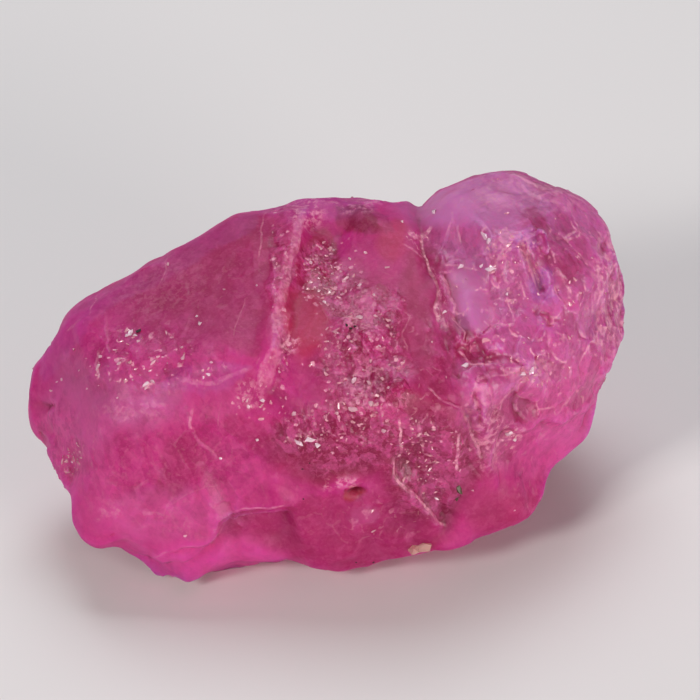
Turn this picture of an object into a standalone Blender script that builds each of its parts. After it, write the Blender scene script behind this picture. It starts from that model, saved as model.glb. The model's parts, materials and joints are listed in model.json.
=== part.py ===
"""A raw ruby crystal: two corundum crystals grown together into one small lump, with broken, stepped and pitted faces.

The lump is one solid. Two balls, a long one and a round one, are pressed flat where the crystals have faces, grown
together into one skin, and fitted to the lump's outline. Then the skin is given its steps, seams, pits and chips,
thinned to fewer triangles, and cut flat where it rests.
Run it with blender --background --python part.py, or from Blender's text editor.
"""

import math

import bmesh
import bpy
import numpy as np
from mathutils import Matrix, Vector, noise

# --- Driving dimensions. Sizes are in millimetres, and the finished model is in metres. ---
MM = 0.001
CENTRE = (-0.2998, -0.0448, 3.60)  # the middle of the lump, above the face that it rests on
SKIN = 0.105  # the size of the skin's squares before it is thinned
TRIANGLES = 8600  # how many the finished solid has, about

# The broad face is the side that shows the crystal best. It looks left, forward and up. What lies on it is laid out as
# (right, up) or (right, up, out) from the middle of the lump.
FACE_TURN = -24.0  # degrees about +Z
FACE_TILT = 40.0  # degrees above the horizon

# Each crystal is a ball stretched to its half length, depth and height, filled out (2 is an ellipsoid, and more is
# boxier) and pressed flat at its faces: name, the way the face looks as (right, up, out), how far it is from the
# crystal's middle, and how soft the edges round it are.
LONG_MIDDLE = (0.0, 0.0, 0.0)
LONG_HALF = (7.35, 4.25, 4.05)
LONG_FULLNESS = 2.35
LONG_FACES = (
    ("upper_left", (-0.26, 0.62, 0.74), 3.42, 0.25),
    ("belly", (-0.18, -0.34, 0.92), 3.72, 1.00),
    ("upper_middle", (0.14, 0.58, 0.80), 3.22, 0.50),
    ("lower_middle", (0.12, -0.66, 0.74), 3.55, 0.60),
    ("lower_right", (0.62, -0.62, 0.48), 4.55, 0.30),
    ("left_end", (-0.90, -0.12, 0.42), 5.75, 0.35),
    ("left_top", (-0.62, 0.72, 0.30), 4.85, 0.35),
    ("top", (0.02, 0.96, 0.26), 3.95, 0.35),
    ("bottom_lip", (-0.12, -0.97, 0.20), 4.25, 0.35),
    ("back_top", (0.10, 0.72, -0.69), 3.55, 0.30),
    ("back_left", (-0.62, 0.25, -0.74), 4.15, 0.30),
    ("back_middle", (0.22, 0.20, -0.95), 3.85, 0.35),
    ("back_low", (-0.25, -0.38, -0.89), 3.60, 0.35),
    ("back_right", (0.72, -0.05, -0.69), 5.35, 0.30),
    ("under_right", (0.55, -0.66, -0.51), 4.60, 0.30),
    ("under_left", (-0.55, -0.70, -0.45), 4.70, 0.30),
)
ROUND_MIDDLE = (4.30, 2.05, -0.70)
ROUND_HALF = (2.95, 2.95, 2.95)
ROUND_FULLNESS = 2.0
ROUND_FACES = (
    ("lobe_left", (-0.55, 0.22, 0.81), 2.62, 0.10),
    ("lobe_front", (0.10, -0.12, 0.98), 2.66, 0.12),
    ("lobe_top", (0.10, 0.82, 0.55), 2.62, 0.12),
    ("lobe_upper_right", (0.62, 0.52, 0.58), 2.66, 0.10),
    ("lobe_right", (0.88, -0.15, 0.45), 2.66, 0.10),
    ("lobe_low", (0.35, -0.72, 0.60), 2.60, 0.12),
    ("lobe_back", (0.35, 0.45, -0.82), 2.60, 0.12),
    ("lobe_back_left", (-0.45, 0.60, -0.66), 2.60, 0.12),
    ("lobe_back_right", (0.85, 0.10, -0.52), 2.60, 0.12),
)

# The lump's outline seen square-on to the broad face, anticlockwise from its right end.
OUTLINE = (
    (6.93, 2.21), (6.67, 2.74), (6.60, 3.14), (6.37, 3.67), (6.14, 4.07), (5.86, 4.35), (5.05, 4.70), (4.58, 4.88),
    (4.00, 4.86), (2.95, 4.58), (2.60, 4.40), (2.09, 4.19), (1.91, 4.12), (1.33, 4.19), (0.05, 4.21), (-0.72, 4.19),
    (-1.12, 4.02), (-2.16, 3.84), (-2.98, 3.35), (-4.37, 2.56), (-5.67, 1.84), (-6.09, 1.49), (-6.47, 1.00),
    (-6.70, 0.37), (-6.98, -0.74), (-6.91, -0.93), (-6.58, -1.67), (-6.28, -2.09), (-6.16, -2.33), (-5.81, -3.26),
    (-5.58, -3.72), (-5.35, -3.95), (-4.84, -4.05), (-4.02, -4.47), (-3.72, -4.65), (-3.37, -4.79), (-2.86, -4.56),
    (-2.05, -4.37), (-1.00, -4.26), (-0.65, -4.28), (-0.19, -4.47), (0.16, -4.53), (0.63, -4.47), (0.98, -4.33),
    (1.79, -4.21), (1.98, -4.07), (2.37, -4.16), (3.07, -4.00), (4.00, -3.56), (4.81, -3.12), (4.95, -2.84),
    (4.93, -2.53), (5.07, -2.33), (5.63, -1.84), (6.05, -1.49), (6.19, -1.09), (6.19, -0.74), (6.28, -0.40),
    (6.51, 0.05), (6.81, 0.37), (6.88, 0.77), (6.81, 1.35), (6.86, 1.81),
)
# Each pass of the fit to the outline: in how many directions it measures, and how quickly it fades from the rim.
FIRST_PASSES = ((24, 2), (60, 4), (120, 8), (120, 8), (120, 8))
LAST_PASSES = ((60, 6), (60, 6), (90, 8))

# Steps: the surface right of the path, as one walks along it, lies lower by the drop. The wall between the two levels
# is as wide as given, and the lower level climbs back between the two distances of the last pair.
STEPS = (
    ("step_ridge", ((-1.75, -0.60), (-1.45, 0.00), (-1.25, 0.60), (-1.05, 1.25), (-0.92, 1.95), (-0.76, 2.60),
                    (-0.60, 3.30), (-0.42, 4.05)), 0.30, 0.18, (0.8, 2.4)),
    ("shelf", ((-4.80, -3.95), (-4.10, -4.10), (-2.90, -3.86), (-2.60, -3.70), (-2.50, -3.32), (-2.10, -3.10),
               (-1.55, -3.05), (-0.60, -3.00)), 0.30, 0.22, (0.8, 1.8)),
    ("lobe_foot", ((4.05, -1.05), (4.70, -1.20), (5.00, -0.80), (5.40, -0.95), (5.98, -0.70), (6.40, -0.20)),
     0.26, 0.25, (0.7, 1.9)),
    ("wedge", ((2.85, -3.30), (2.62, -3.32), (2.15, -2.85), (1.72, -2.35), (1.40, -1.75)), 0.20, 0.16, (0.6, 1.4)),
    ("lobe_flake", ((6.62, 1.50), (6.30, 2.10), (6.45, 2.60), (6.15, 3.10)), 0.16, 0.14, (0.5, 1.0)),
)

# Seams and cracks: name, path, width and depth.
SEAMS = (
    ("lobe_seam", ((2.10, 4.00), (2.28, 3.20), (2.40, 2.75), (2.56, 2.05), (2.62, 1.35), (2.85, 0.60), (3.12, -0.15),
                   (3.26, -0.95), (3.30, -1.90), (3.10, -2.70), (2.75, -3.40), (2.00, -4.10)), 0.30, 0.16),
    ("under_web", ((3.05, 0.45), (3.45, 0.28), (3.95, 0.32)), 0.25, 0.16),
)

# Hollows and swellings: name, middle, half width, half height, and how far the surface moves out.
LUMPS = (
    ("deep_recess", (3.50, 0.60), 0.55, 0.42, -0.30),
    ("dark_face", (4.55, -0.65), 0.60, 0.45, -0.20),
    ("pink_boss", (3.25, 1.75), 0.55, 0.85, 0.16),
    ("trough_top", (0.15, 3.30), 0.45, 0.70, -0.16),
    ("centre_swell", (0.75, 1.10), 0.90, 1.20, 0.12),
    ("red_pit", (0.63, -2.66), 0.26, 0.18, -0.32),
    ("red_pit_brow", (0.35, -2.36), 0.40, 0.20, 0.12),
    ("bubble", (0.86, -3.28), 0.60, 0.46, 0.16),
    ("dark_pit", (0.54, 1.22), 0.16, 0.16, -0.16),
    ("end_pit", (-6.30, -0.64), 0.24, 0.24, -0.16),
    ("ridge_pit", (-4.38, 1.08), 0.16, 0.16, -0.12),
    ("vein_swell", (-4.20, -0.60), 1.10, 0.26, 0.10),
    ("left_rim", (-6.10, -1.85), 0.40, 0.80, 0.12),
    ("web_boss", (3.60, -0.95), 0.36, 0.58, 0.14),
    ("lip_swell", (-3.20, -4.20), 0.95, 0.40, 0.14),
)
PATH_TAPER = 0.08  # the share of a step's or seam's length over which each end fades
PATH_WANDER = ((0.90, 0.14), (0.35, 0.06))  # how far the lines wander, as (size, reach)
SEAM_UNEVEN = 0.7  # how much a seam's depth comes and goes

# Small chips all over, apart from the smooth faces: nearly flat shaves and deeper scoops, each as (number, least and most
# depth, reach, bowl radius).
SEED = 7
SHAVES = (230, 0.03, 0.10, 1.20, 16.0)
SCOOPS = (35, 0.03, 0.10, 0.80, 2.5)
SMOOTH_PATCHES = (((-3.3, 2.1), 2.6, 1.25), ((-4.2, -2.0), 1.7, 1.1), ((2.15, 1.1), 0.45, 1.9), ((5.4, -1.6), 0.9, 0.6))
CHIP_TILT = 0.07
CHIP_SOFT = 0.03
CHIP_HOLLOW = -0.01  # no chip is knocked off where the surface is flatter than this, or hollow
GRAIN = ((1.30, 0.09), (0.50, 0.045))  # rough relief as (size, height)
SMOOTH_SHARE = 0.8  # how much of the rough relief the smooth faces lose

RUBY_COLOUR = (0.46, 0.045, 0.17, 1.0)


# --- Helpers ---


def face_axes():
    """The broad face's right, up and out, as rows, in the part's own axes."""
    turn, tilt = math.radians(FACE_TURN), math.radians(FACE_TILT)
    right = Vector((math.cos(turn), math.sin(turn), 0))
    out = Vector((math.sin(turn) * math.cos(tilt), -math.cos(turn) * math.cos(tilt), math.sin(tilt)))
    return np.array([right, out.cross(right), out])


def ease(x):
    """Climbs smoothly from 0 to 1 as x does."""
    x = np.clip(x, 0, 1)
    return x * x * (3 - 2 * x)


def soft_min(a, b, soft):
    return np.minimum(a, b) - np.maximum(soft - np.abs(a - b), 0) ** 2 / (4 * soft)


def lengths(vectors):
    return np.linalg.norm(vectors, axis=1, keepdims=True)


def along_path(places, path):
    """For each place on the broad face: how far it is from the path, on which side (1 is right), and how far along."""
    path = np.array(path)
    runs = lengths(path[1:] - path[:-1])[:, 0]
    starts = np.concatenate([[0], np.cumsum(runs)[:-1]])
    best = np.full(len(places), np.inf)
    side, share = np.ones(len(places)), np.zeros(len(places))
    for start, end, run, before in zip(path[:-1], path[1:], runs, starts):
        step = (end - start) / run
        offset = places - start
        forward = np.clip(offset @ step, 0, run)
        gap = lengths(offset - forward[:, None] * step)[:, 0]
        nearer = gap < best
        turned = offset[:, 0] * step[1] - offset[:, 1] * step[0]
        best[nearer] = gap[nearer]
        side[nearer] = np.where(turned[nearer] >= 0, 1, -1)
        share[nearer] = (before + forward[nearer]) / runs.sum()
    return best, side, share


# --- The form ---


def add_crystal(shape, middle, half, fullness, faces):
    """Adds one stretched ball, pressed flat at its faces, to the bmesh. Its places are in the broad face's axes."""
    ball = bmesh.ops.create_icosphere(shape, subdivisions=6, radius=1.0)["verts"]
    points = np.array([vertex.co for vertex in ball])
    fill = (np.abs(points) ** fullness).sum(axis=1, keepdims=True) ** (1 / fullness)
    points = (points / fill * np.array(half)) @ face_axes().T
    for _, looks, distance, soft in faces:
        looks = np.array(looks) / np.linalg.norm(looks)
        reach = points @ looks
        ahead = reach > 0.1
        limited = soft_min(reach, distance, soft)
        points[ahead] *= (limited / np.where(ahead, reach, 1))[ahead, None]
    for vertex, point in zip(ball, points + np.array(middle)):
        vertex.co = point * MM


def grown_together(holder):
    """The crystals under one skin of small squares, evenly smoothed, as a mesh in the broad face's axes."""
    shape = bmesh.new()
    add_crystal(shape, LONG_MIDDLE, LONG_HALF, LONG_FULLNESS, LONG_FACES)
    add_crystal(shape, ROUND_MIDDLE, ROUND_HALF, ROUND_FULLNESS, ROUND_FACES)
    mesh = bpy.data.meshes.new("crystals")
    shape.to_mesh(mesh)
    shape.free()
    crystals = bpy.data.objects.new("crystals", mesh)
    crystals.hide_render = True
    holder.objects.link(crystals)
    skin = crystals.modifiers.new("skin", "REMESH")
    skin.mode = "VOXEL"
    skin.voxel_size = SKIN * MM
    even = crystals.modifiers.new("even", "SMOOTH")
    even.iterations = 4
    graph = bpy.context.evaluated_depsgraph_get()
    return bpy.data.meshes.new_from_object(crystals.evaluated_get(graph))


def follow_outline(points, passes):
    """Moves the lump's rim, direction by direction, until its silhouette is the outline. The middle hardly moves."""
    corners = np.array(OUTLINE)
    shares = np.linspace(0, 1, 12, endpoint=False)[:, None, None]
    outline = ((1 - shares) * corners + shares * np.roll(corners, -1, axis=0)).reshape(-1, 2)
    outline_turns = np.arctan2(outline[:, 1], outline[:, 0])
    order = np.argsort(outline_turns)
    outline_turns, outline_reach = outline_turns[order], lengths(outline[order])[:, 0]
    for directions, sharpness in passes:
        width = 2 * math.pi / directions
        middles = -math.pi + width * (np.arange(directions) + 0.5)
        turn = np.arctan2(points[:, 1], points[:, 0])
        reach = np.hypot(points[:, 0], points[:, 1])
        found = np.zeros(directions)
        np.maximum.at(found, np.minimum((turn + math.pi) // width, directions - 1).astype(int), reach)
        goal = np.interp(middles, outline_turns, outline_reach, period=2 * math.pi) / found
        goal = (np.roll(goal, 1) + 2 * goal + np.roll(goal, -1)) / 4
        rim = np.interp(turn, middles, found, period=2 * math.pi)
        stretch = np.interp(turn, middles, goal, period=2 * math.pi)
        points[:, :2] *= (1 + (stretch - 1) * np.minimum(reach / rim, 1) ** sharpness)[:, None]
    return points


def normals_of(mesh, points):
    """The way the surface looks at each vertex once the vertices are at these points, in millimetres."""
    mesh.vertices.foreach_set("co", (points * MM).ravel())
    mesh.update()
    normals = np.zeros(len(points) * 3)
    mesh.vertex_normals.foreach_get("vector", normals)
    return normals.reshape(-1, 3)


# --- The detail ---


def smooth_share(places, showing):
    """1 on the crystal's smooth faces and 0 away from them."""
    share = np.zeros(len(places))
    for middle, half_width, half_height in SMOOTH_PATCHES:
        gap = np.hypot((places[:, 0] - middle[0]) / half_width, (places[:, 1] - middle[1]) / half_height)
        share = np.maximum(share, 1 - ease((gap - 0.8) / 0.4))
    return share * showing


def shown(normals):
    """1 where the surface looks out of the broad face, 0 where it looks away."""
    return ease(normals[:, 2] / 0.5)


def chip(points, normals, draw):
    """Knocks shallow shell-shaped scoops off the surface, at places drawn with the seed."""
    for count, least, most, reach, bowl in (SHAVES, SCOOPS):
        for _ in range(count):
            heading = draw.normal(size=3)
            depth, tilt, luck = draw.uniform(least, most), draw.normal(scale=CHIP_TILT, size=3), draw.uniform()
            at = points[np.argmax((points / lengths(points)) @ (heading / np.linalg.norm(heading)))].copy()
            gaps = lengths(points - at)[:, 0]
            near = np.nonzero(gaps < reach)[0]
            looks = normals[near].mean(axis=0) + tilt
            looks /= np.linalg.norm(looks)
            height = (points[near] - at) @ looks
            if smooth_share(at[None, :2], shown(looks[None]))[0] > luck or height.mean() > CHIP_HOLLOW * reach:
                continue
            floor = gaps[near] ** 2 / (2 * bowl) - depth
            lowered = height - soft_min(height, floor, CHIP_SOFT)
            points[near] -= (lowered * ease(3 - 3 * gaps[near] / reach))[:, None] * looks
    return points


def wavy(points, size, shift):
    """Smooth noise of about this size at each point, from -1 to 1. Another shift gives another pattern."""
    shift = Vector((shift, 5.0, -9.0))
    return np.array([noise.noise(Vector(point) / size + shift) for point in points])


def named_relief(points, showing):
    """How far the named steps, seams and lumps move the surface out."""
    places = points[:, :2].copy()
    for size, reach in PATH_WANDER:
        places += reach * np.stack([wavy(points, size, 31.0), wavy(points, size, -23.0)], axis=1)
    move = np.zeros(len(places))
    for _, path, drop, wall, (near, far) in STEPS:
        gap, side, share = along_path(places, path)
        across = gap * side
        taper = ease(share / PATH_TAPER) * ease((1 - share) / PATH_TAPER)
        move -= drop * ease(across / wall) * (1 - ease((across - near) / (far - near))) * taper
    uneven = 1 + SEAM_UNEVEN * wavy(points, 1.0, 47.0)
    for _, path, width, depth in SEAMS:
        gap, _, share = along_path(places, path)
        taper = ease(share / PATH_TAPER) * ease((1 - share) / PATH_TAPER)
        move -= depth * uneven * np.maximum(1 - gap / width, 0) ** 1.5 * taper
    for _, middle, half_width, half_height, height in LUMPS:
        gap = np.hypot((places[:, 0] - middle[0]) / half_width, (places[:, 1] - middle[1]) / half_height)
        move += height * (1 - ease(gap))
    return move * showing


def grain(points, roughness):
    """Rough relief at each point, from noise of a few sizes."""
    move = np.zeros(len(points))
    for size, height in GRAIN:
        move += height * wavy(points, size, 17.0)
    return move * roughness


def roughen(mesh):
    """Fits the skin to the outline, gives it its detail, and turns it into the part's own axes."""
    points = np.zeros(len(mesh.vertices) * 3)
    mesh.vertices.foreach_get("co", points)
    points = follow_outline(points.reshape(-1, 3) / MM, FIRST_PASSES)
    normals = normals_of(mesh, points)
    showing = shown(normals)
    points = chip(points, normals, np.random.default_rng(SEED))
    rough = 1 - SMOOTH_SHARE * smooth_share(points[:, :2], showing)
    move = named_relief(points, showing) + grain(points, rough)
    points = follow_outline(points + move[:, None] * normals, LAST_PASSES)
    normals_of(mesh, points @ face_axes() + np.array(CENTRE))


# --- The scene ---


def collection(name):
    made = bpy.data.collections.new(name)
    bpy.context.scene.collection.children.link(made)
    return made


def ruby_material():
    material = bpy.data.materials.new("ruby")
    material.use_nodes = True
    shader = material.node_tree.nodes["Principled BSDF"]
    shader.inputs["Base Color"].default_value = RUBY_COLOUR
    shader.inputs["Roughness"].default_value = 0.35
    shader.inputs["Metallic"].default_value = 0.0
    shader.inputs["IOR"].default_value = 1.77
    return material


def rest_cutter(holder):
    """A slab whose top is the plane that the crystal rests on."""
    size = 4 * LONG_HALF[0] * MM
    shape = bmesh.new()
    bmesh.ops.create_cube(shape, size=size, matrix=Matrix.Translation((0, 0, -size / 2)))
    mesh = bpy.data.meshes.new("rest_cutter")
    shape.to_mesh(mesh)
    shape.free()
    slab = bpy.data.objects.new("rest_cutter", mesh)
    slab.hide_render = True
    slab.display_type = "WIRE"
    holder.objects.link(slab)
    return slab


def ruby_crystal(holder, helpers):
    """The crystal, thinned to fewer triangles and cut flat where it rests."""
    mesh = grown_together(helpers)
    roughen(mesh)
    mesh.name = "ruby_crystal"
    mesh.materials.append(ruby_material())
    crystal = bpy.data.objects.new("ruby_crystal", mesh)
    holder.objects.link(crystal)
    thin = crystal.modifiers.new("thin", "DECIMATE")
    thin.ratio = TRIANGLES / (2 * len(mesh.polygons))
    flat = crystal.modifiers.new("rest_face", "BOOLEAN")
    flat.operation = "DIFFERENCE"
    flat.object = rest_cutter(helpers)
    return crystal


def main():
    for old in list(bpy.data.objects):
        bpy.data.objects.remove(old)
    return ruby_crystal(collection("raw_ruby_crystal"), collection("helpers"))


main()
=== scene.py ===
# %% [markdown]
# # A raw ruby crystal
# This is a lesson in dressing one natural stone. The solid gives its size and its main
# lumps; everything here is about its skin, its colour and the light in it. The stone is
# 14 mm long, so each number below is in millimetres and is turned to metres only where
# Blender needs it. The solid is loaded first.

import json
import math

import bmesh
import bpy
import numpy as np
from mathutils import Matrix, Vector, noise
from mathutils.bvhtree import BVHTree

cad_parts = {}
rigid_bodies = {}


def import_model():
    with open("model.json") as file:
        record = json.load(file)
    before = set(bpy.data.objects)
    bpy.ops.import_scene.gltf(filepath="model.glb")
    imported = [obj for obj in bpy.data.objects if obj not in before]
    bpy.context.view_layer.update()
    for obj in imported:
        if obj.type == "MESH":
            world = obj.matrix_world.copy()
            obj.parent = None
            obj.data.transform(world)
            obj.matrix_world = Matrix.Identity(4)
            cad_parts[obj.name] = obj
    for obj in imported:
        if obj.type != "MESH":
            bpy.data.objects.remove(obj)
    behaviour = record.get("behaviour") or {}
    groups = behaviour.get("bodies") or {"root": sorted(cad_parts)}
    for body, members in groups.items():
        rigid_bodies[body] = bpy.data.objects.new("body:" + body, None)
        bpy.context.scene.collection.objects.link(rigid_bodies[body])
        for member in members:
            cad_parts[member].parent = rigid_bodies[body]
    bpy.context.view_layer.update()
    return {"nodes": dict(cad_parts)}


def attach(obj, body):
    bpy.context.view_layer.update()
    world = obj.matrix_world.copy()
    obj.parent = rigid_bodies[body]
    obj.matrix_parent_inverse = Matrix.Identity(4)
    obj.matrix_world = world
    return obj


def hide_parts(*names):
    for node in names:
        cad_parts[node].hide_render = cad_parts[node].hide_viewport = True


for leftover in list(bpy.data.objects):
    bpy.data.objects.remove(leftover)
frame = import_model()
stone = frame["nodes"]["ruby_crystal"]
MM = 0.001

# %% [markdown]
# ## Where things are on the broad face
# The stone has one broad face, turned 24 degrees to the side and leaning back. Marks on it
# are easiest to place as on a sheet of paper laid over that face: u runs to the right, v
# runs up, and out stands up from the paper. Three arrows of length one give that paper's
# directions in the room, and multiplying by them turns places back and forth. Empties
# placed by hand would do the same, but a number can be read and changed later.

# %% The broad face as a sheet of paper
FACE_TURN = -24.0
FACE_TILT = 40.0
FACE_MIDDLE = np.array([-0.2998, -0.0448, 3.60])


def face_arrows():
    turn, tilt = math.radians(FACE_TURN), math.radians(FACE_TILT)
    right = Vector((math.cos(turn), math.sin(turn), 0))
    out = Vector((math.sin(turn) * math.cos(tilt), -math.cos(turn) * math.cos(tilt), math.sin(tilt)))
    return np.array([right, out.cross(right), out])


ARROWS = face_arrows()


def on_paper(points):
    """Places in the room, in mm, as (u, v, out) on the broad face."""
    return (points - FACE_MIDDLE) @ ARROWS.T


def in_room(places):
    """Places (u, v, out) on the broad face, as places in the room, in mm."""
    return np.asarray(places) @ ARROWS + FACE_MIDDLE


def ease(x):
    """From 0 to 1 with a soft start and end."""
    x = np.clip(x, 0, 1)
    return x * x * (3 - 2 * x)


def lengths(vectors):
    return np.linalg.norm(vectors, axis=1, keepdims=True)


def wavy(points, size, shift):
    """Smooth random values from -1 to 1 whose waves are about size mm long."""
    shift = Vector((shift, 5.0, -9.0))
    return np.array([noise.noise(Vector(point) / size + shift) for point in points])


print("the paper's arrows, in the room:", np.round(ARROWS, 3).tolist())

# %% [markdown]
# ## Reading and moving a mesh
# A stone's skin has a quarter of a million points here, too many to handle one by one.
# Blender can hand over all of them at once as one long list of numbers, and numpy works on
# the whole list. These helpers are the only places where that happens.

# %% Mesh helpers
def read_all(items, name, width, kind=np.float32):
    """One row of numbers for each item of a mesh."""
    found = np.empty(len(items) * width, kind)
    items.foreach_get(name, found)
    return found.reshape(-1, width)


def mesh_points(mesh):
    return read_all(mesh.vertices, "co", 3).astype(float) / MM


def mesh_normals(mesh):
    return read_all(mesh.vertex_normals, "vector", 3).astype(float)


def mesh_edges(mesh):
    return read_all(mesh.edges, "vertices", 2, np.int32).T


def move_points(mesh, points):
    mesh.vertices.foreach_set("co", (points * MM).astype(np.float32).ravel())
    mesh.update()


def met_mean(edges, count, at_first, at_second):
    """For each point, the mean of what the edges that meet there bring to it."""
    first, second = edges
    met = np.bincount(first, minlength=count) + np.bincount(second, minlength=count)
    return (np.bincount(first, at_first, count) + np.bincount(second, at_second, count)) / met


def neighbour_mean(values, edges):
    """For each point of a net, the mean of the values of the points next to it."""
    first, second = edges
    count = len(values)
    columns = [met_mean(edges, count, one[second], one[first]) for one in values.reshape(count, -1).T]
    return np.stack(columns, axis=1).reshape(values.shape)


print("points in the solid:", len(mesh_points(stone.data)))

# %% [markdown]
# ## A fine, even skin
# The solid is made of flat triangles about 0.3 mm wide, which is right for a part that is
# measured and dropped in a simulation, but a grown crystal has a finer skin. Sculpting by
# hand would do, and so would subdivision, but subdivision keeps the long thin triangles.
# A voxel remesh gives an even net of small squares instead, and rounds of smoothing take
# the triangles' edges away. Smoothing also shrinks a form, so what it took is averaged over
# a wide patch and given back.

# %% A fine, even copy of the stone
SKIN_VOXEL = 0.042
SKIN_ROUNDS = 22
REFILL_ROUNDS = 40
SAME_PLACE = 0.001


def new_object(name, data):
    made = bpy.data.objects.new(name, data)
    bpy.context.scene.collection.objects.link(made)
    return made


def finished_mesh(piece):
    """The piece's mesh as its modifiers leave it; the modifiers are then taken off."""
    graph = bpy.context.evaluated_depsgraph_get()
    mesh = bpy.data.meshes.new_from_object(piece.evaluated_get(graph))
    piece.modifiers.clear()
    old = piece.data
    piece.data = mesh
    bpy.data.meshes.remove(old)
    mesh.name = piece.name


mesh = stone.data.copy()
mesh.materials.clear()
form = bmesh.new()
form.from_mesh(mesh)
bmesh.ops.remove_doubles(form, verts=form.verts, dist=SAME_PLACE * MM)
form.to_mesh(mesh)
form.free()
skin = new_object("ruby_skin", mesh)
net = skin.modifiers.new("net", "REMESH")
net.mode = "VOXEL"
net.voxel_size = SKIN_VOXEL * MM
net.use_smooth_shade = True
finished_mesh(skin)
start, edges = mesh_points(skin.data), mesh_edges(skin.data)
points = start
for _ in range(SKIN_ROUNDS):
    points = 0.5 * points + 0.5 * neighbour_mean(points, edges)
lost = start - points
for _ in range(REFILL_ROUNDS):
    lost = neighbour_mean(lost, edges)
move_points(skin.data, points + lost)
print("fine net:", len(points), "points; refilled by up to", round(lengths(lost).max(), 3), "mm")

# %% [markdown]
# ## Marks along a path
# A step, a crack or a pale vein follows a line. The first helper answers, for each point
# of the skin, how far it is from such a line, on which side, and how far along it lies.
# The second stores what was found with the mesh, where node trees and materials read it.
# A painted texture would hold the same, but it needs a map and blurs at its seams.

# %% Distance from a path
def along_path(places, path):
    """For each place: distance from the path, side (1 is right), share of the way along."""
    path = np.array(path)
    runs = lengths(path[1:] - path[:-1])[:, 0]
    starts = np.concatenate([[0], np.cumsum(runs)[:-1]])
    best = np.full(len(places), np.inf)
    side, share = np.ones(len(places)), np.zeros(len(places))
    for start, end, run, before in zip(path[:-1], path[1:], runs, starts):
        step = (end - start) / run
        offset = places - start
        forward = np.clip(offset @ step, 0, run)
        gap = lengths(offset - forward[:, None] * step)[:, 0]
        nearer = gap < best
        turned = offset[:, 0] * step[1] - offset[:, 1] * step[0]
        best[nearer] = gap[nearer]
        side[nearer] = np.where(turned[nearer] >= 0, 1, -1)
        share[nearer] = (before + forward[nearer]) / runs.sum()
    return best, side, share


def keep_values(mesh, name, values):
    """Stores a number, or three, for each point of the mesh, for trees and materials to read."""
    values = np.asarray(values, np.float32)
    kind, field = ("FLOAT", "value") if values.ndim == 1 else ("FLOAT_VECTOR", "vector")
    mesh.attributes.new(name, kind, "POINT").data.foreach_set(field, values.ravel())


gap, side, share = along_path(np.array([(1.0, 0.5)]), ((0, 0), (2, 0)))
print("test place: gap", gap[0], "side", side[0], "share", share[0])

# %% [markdown]
# ## Crisp steps and cracks
# The solid has the stone's steps, but rounded, because its triangles are wide. Here each
# gets its sharp lip back: the skin rises a little on one side of the line and falls on the
# other, over a narrow bevel. A crack is a thin groove. Lines that are drawn with a ruler
# look wrong on a stone, so noise pulls the places about first, in three sizes of wave.

# %% Steps and cracks on the broad face
# three lines that are followed by a step and, further down, by a pale vein as well
RIDGE_LINE = (
    (-1.6, -0.4), (-1.47, 0.14), (-1.3, 0.65), (-1.21, 1.12), (-1.09, 1.58), (-1.0, 2.05), (-0.93, 2.56),
    (-0.81, 3.09), (-0.65, 3.63), (-0.53, 4.02),
)
WEDGE_LINE = (
    (2.74, -3.42), (2.53, -3.33), (2.26, -2.98), (1.86, -2.58), (1.56, -2.21), (1.47, -1.72),
)
FACET_LINE = (
    (2.56, 2.45), (2.78, 2.1), (2.95, 1.75), (2.9, 1.4), (3.2, 1.05), (3.02, 0.78),
)
# name, path, height, bevel, (reach above, reach below): the ground to the right is lower
STEPS = (
    ("step_ridge", RIDGE_LINE, 0.12, 0.14, (0.5, 0.9)),
    ("shelf", ((-4.8, -3.95), (-4.1, -4.1), (-2.9, -3.86), (-2.6, -3.7), (-2.5, -3.32), (-2.1, -3.1),
     (-1.55, -3.05), (-0.6, -3.0)), 0.12, 0.08, (0.6, 1.0)),
    ("wedge", WEDGE_LINE, 0.12, 0.07, (0.5, 0.5)),
    ("pink_facet", FACET_LINE, -0.14, 0.06, (0.5, 0.7)),
    ("dark_hollow", ((2.85, 0.85), (3.25, 0.75), (3.5, 0.98), (3.72, 0.62), (4.2, 0.62)), 0.14, 0.06,
     (0.3, 0.5)),
    ("lobe_ledge", ((3.3, 0.12), (3.95, 0.3), (4.35, 0.15), (4.9, 0.3)), 0.1, 0.08, (0.4, 0.6)),
    ("web_edge", ((2.63, -0.51), (3.02, -0.65), (3.19, -1.02), (3.37, -1.51), (3.51, -2.0)), -0.1, 0.08,
     (0.4, 0.6)),
)
# name, path, depth, half width
CRACKS = (
    ("red_pit", ((0.36, -2.66), (0.58, -2.54), (0.9, -2.68)), 0.05, 0.05),
    ("seam", ((2.05, 3.95), (2.2, 3.2), (2.33, 2.7), (2.53, 2.05), (2.47, 1.53), (2.53, 1.21), (2.74, 0.8),
     (3.12, -0.15)), 0.045, 0.06),
    ("lobe_crack", ((4.38, 3.21), (4.55, 2.86), (4.85, 2.23), (4.96, 1.95)), 0.14, 0.07),
    ("lobe_pit", ((4.75, 1.6), (5.05, 1.45), (5.2, 1.15)), 0.12, 0.1),
    ("web_seam", ((3.33, -0.19), (3.45, -0.62), (3.52, -1.2)), 0.08, 0.06),
)
PATH_WANDER = ((0.90, 0.10), (0.35, 0.05), (0.14, 0.02))
PATH_FADE = 0.10


def wandered(points):
    """Places on the paper, pulled about so that a path drawn there comes out uneven."""
    places = on_paper(points)[:, :2]
    for size, reach in PATH_WANDER:
        places = places + reach * np.stack([wavy(points, size, 31.0), wavy(points, size, -23.0)], axis=1)
    return places


def facing_out(normals):
    """1 where the skin faces the paper's reader, 0 where it faces away."""
    return ease((normals @ ARROWS[2] - 0.05) / 0.3)


def fading_ends(share):
    """1 along a path, falling to 0 over its first and last tenth."""
    return ease(share / PATH_FADE) * ease((1 - share) / PATH_FADE)


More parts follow.
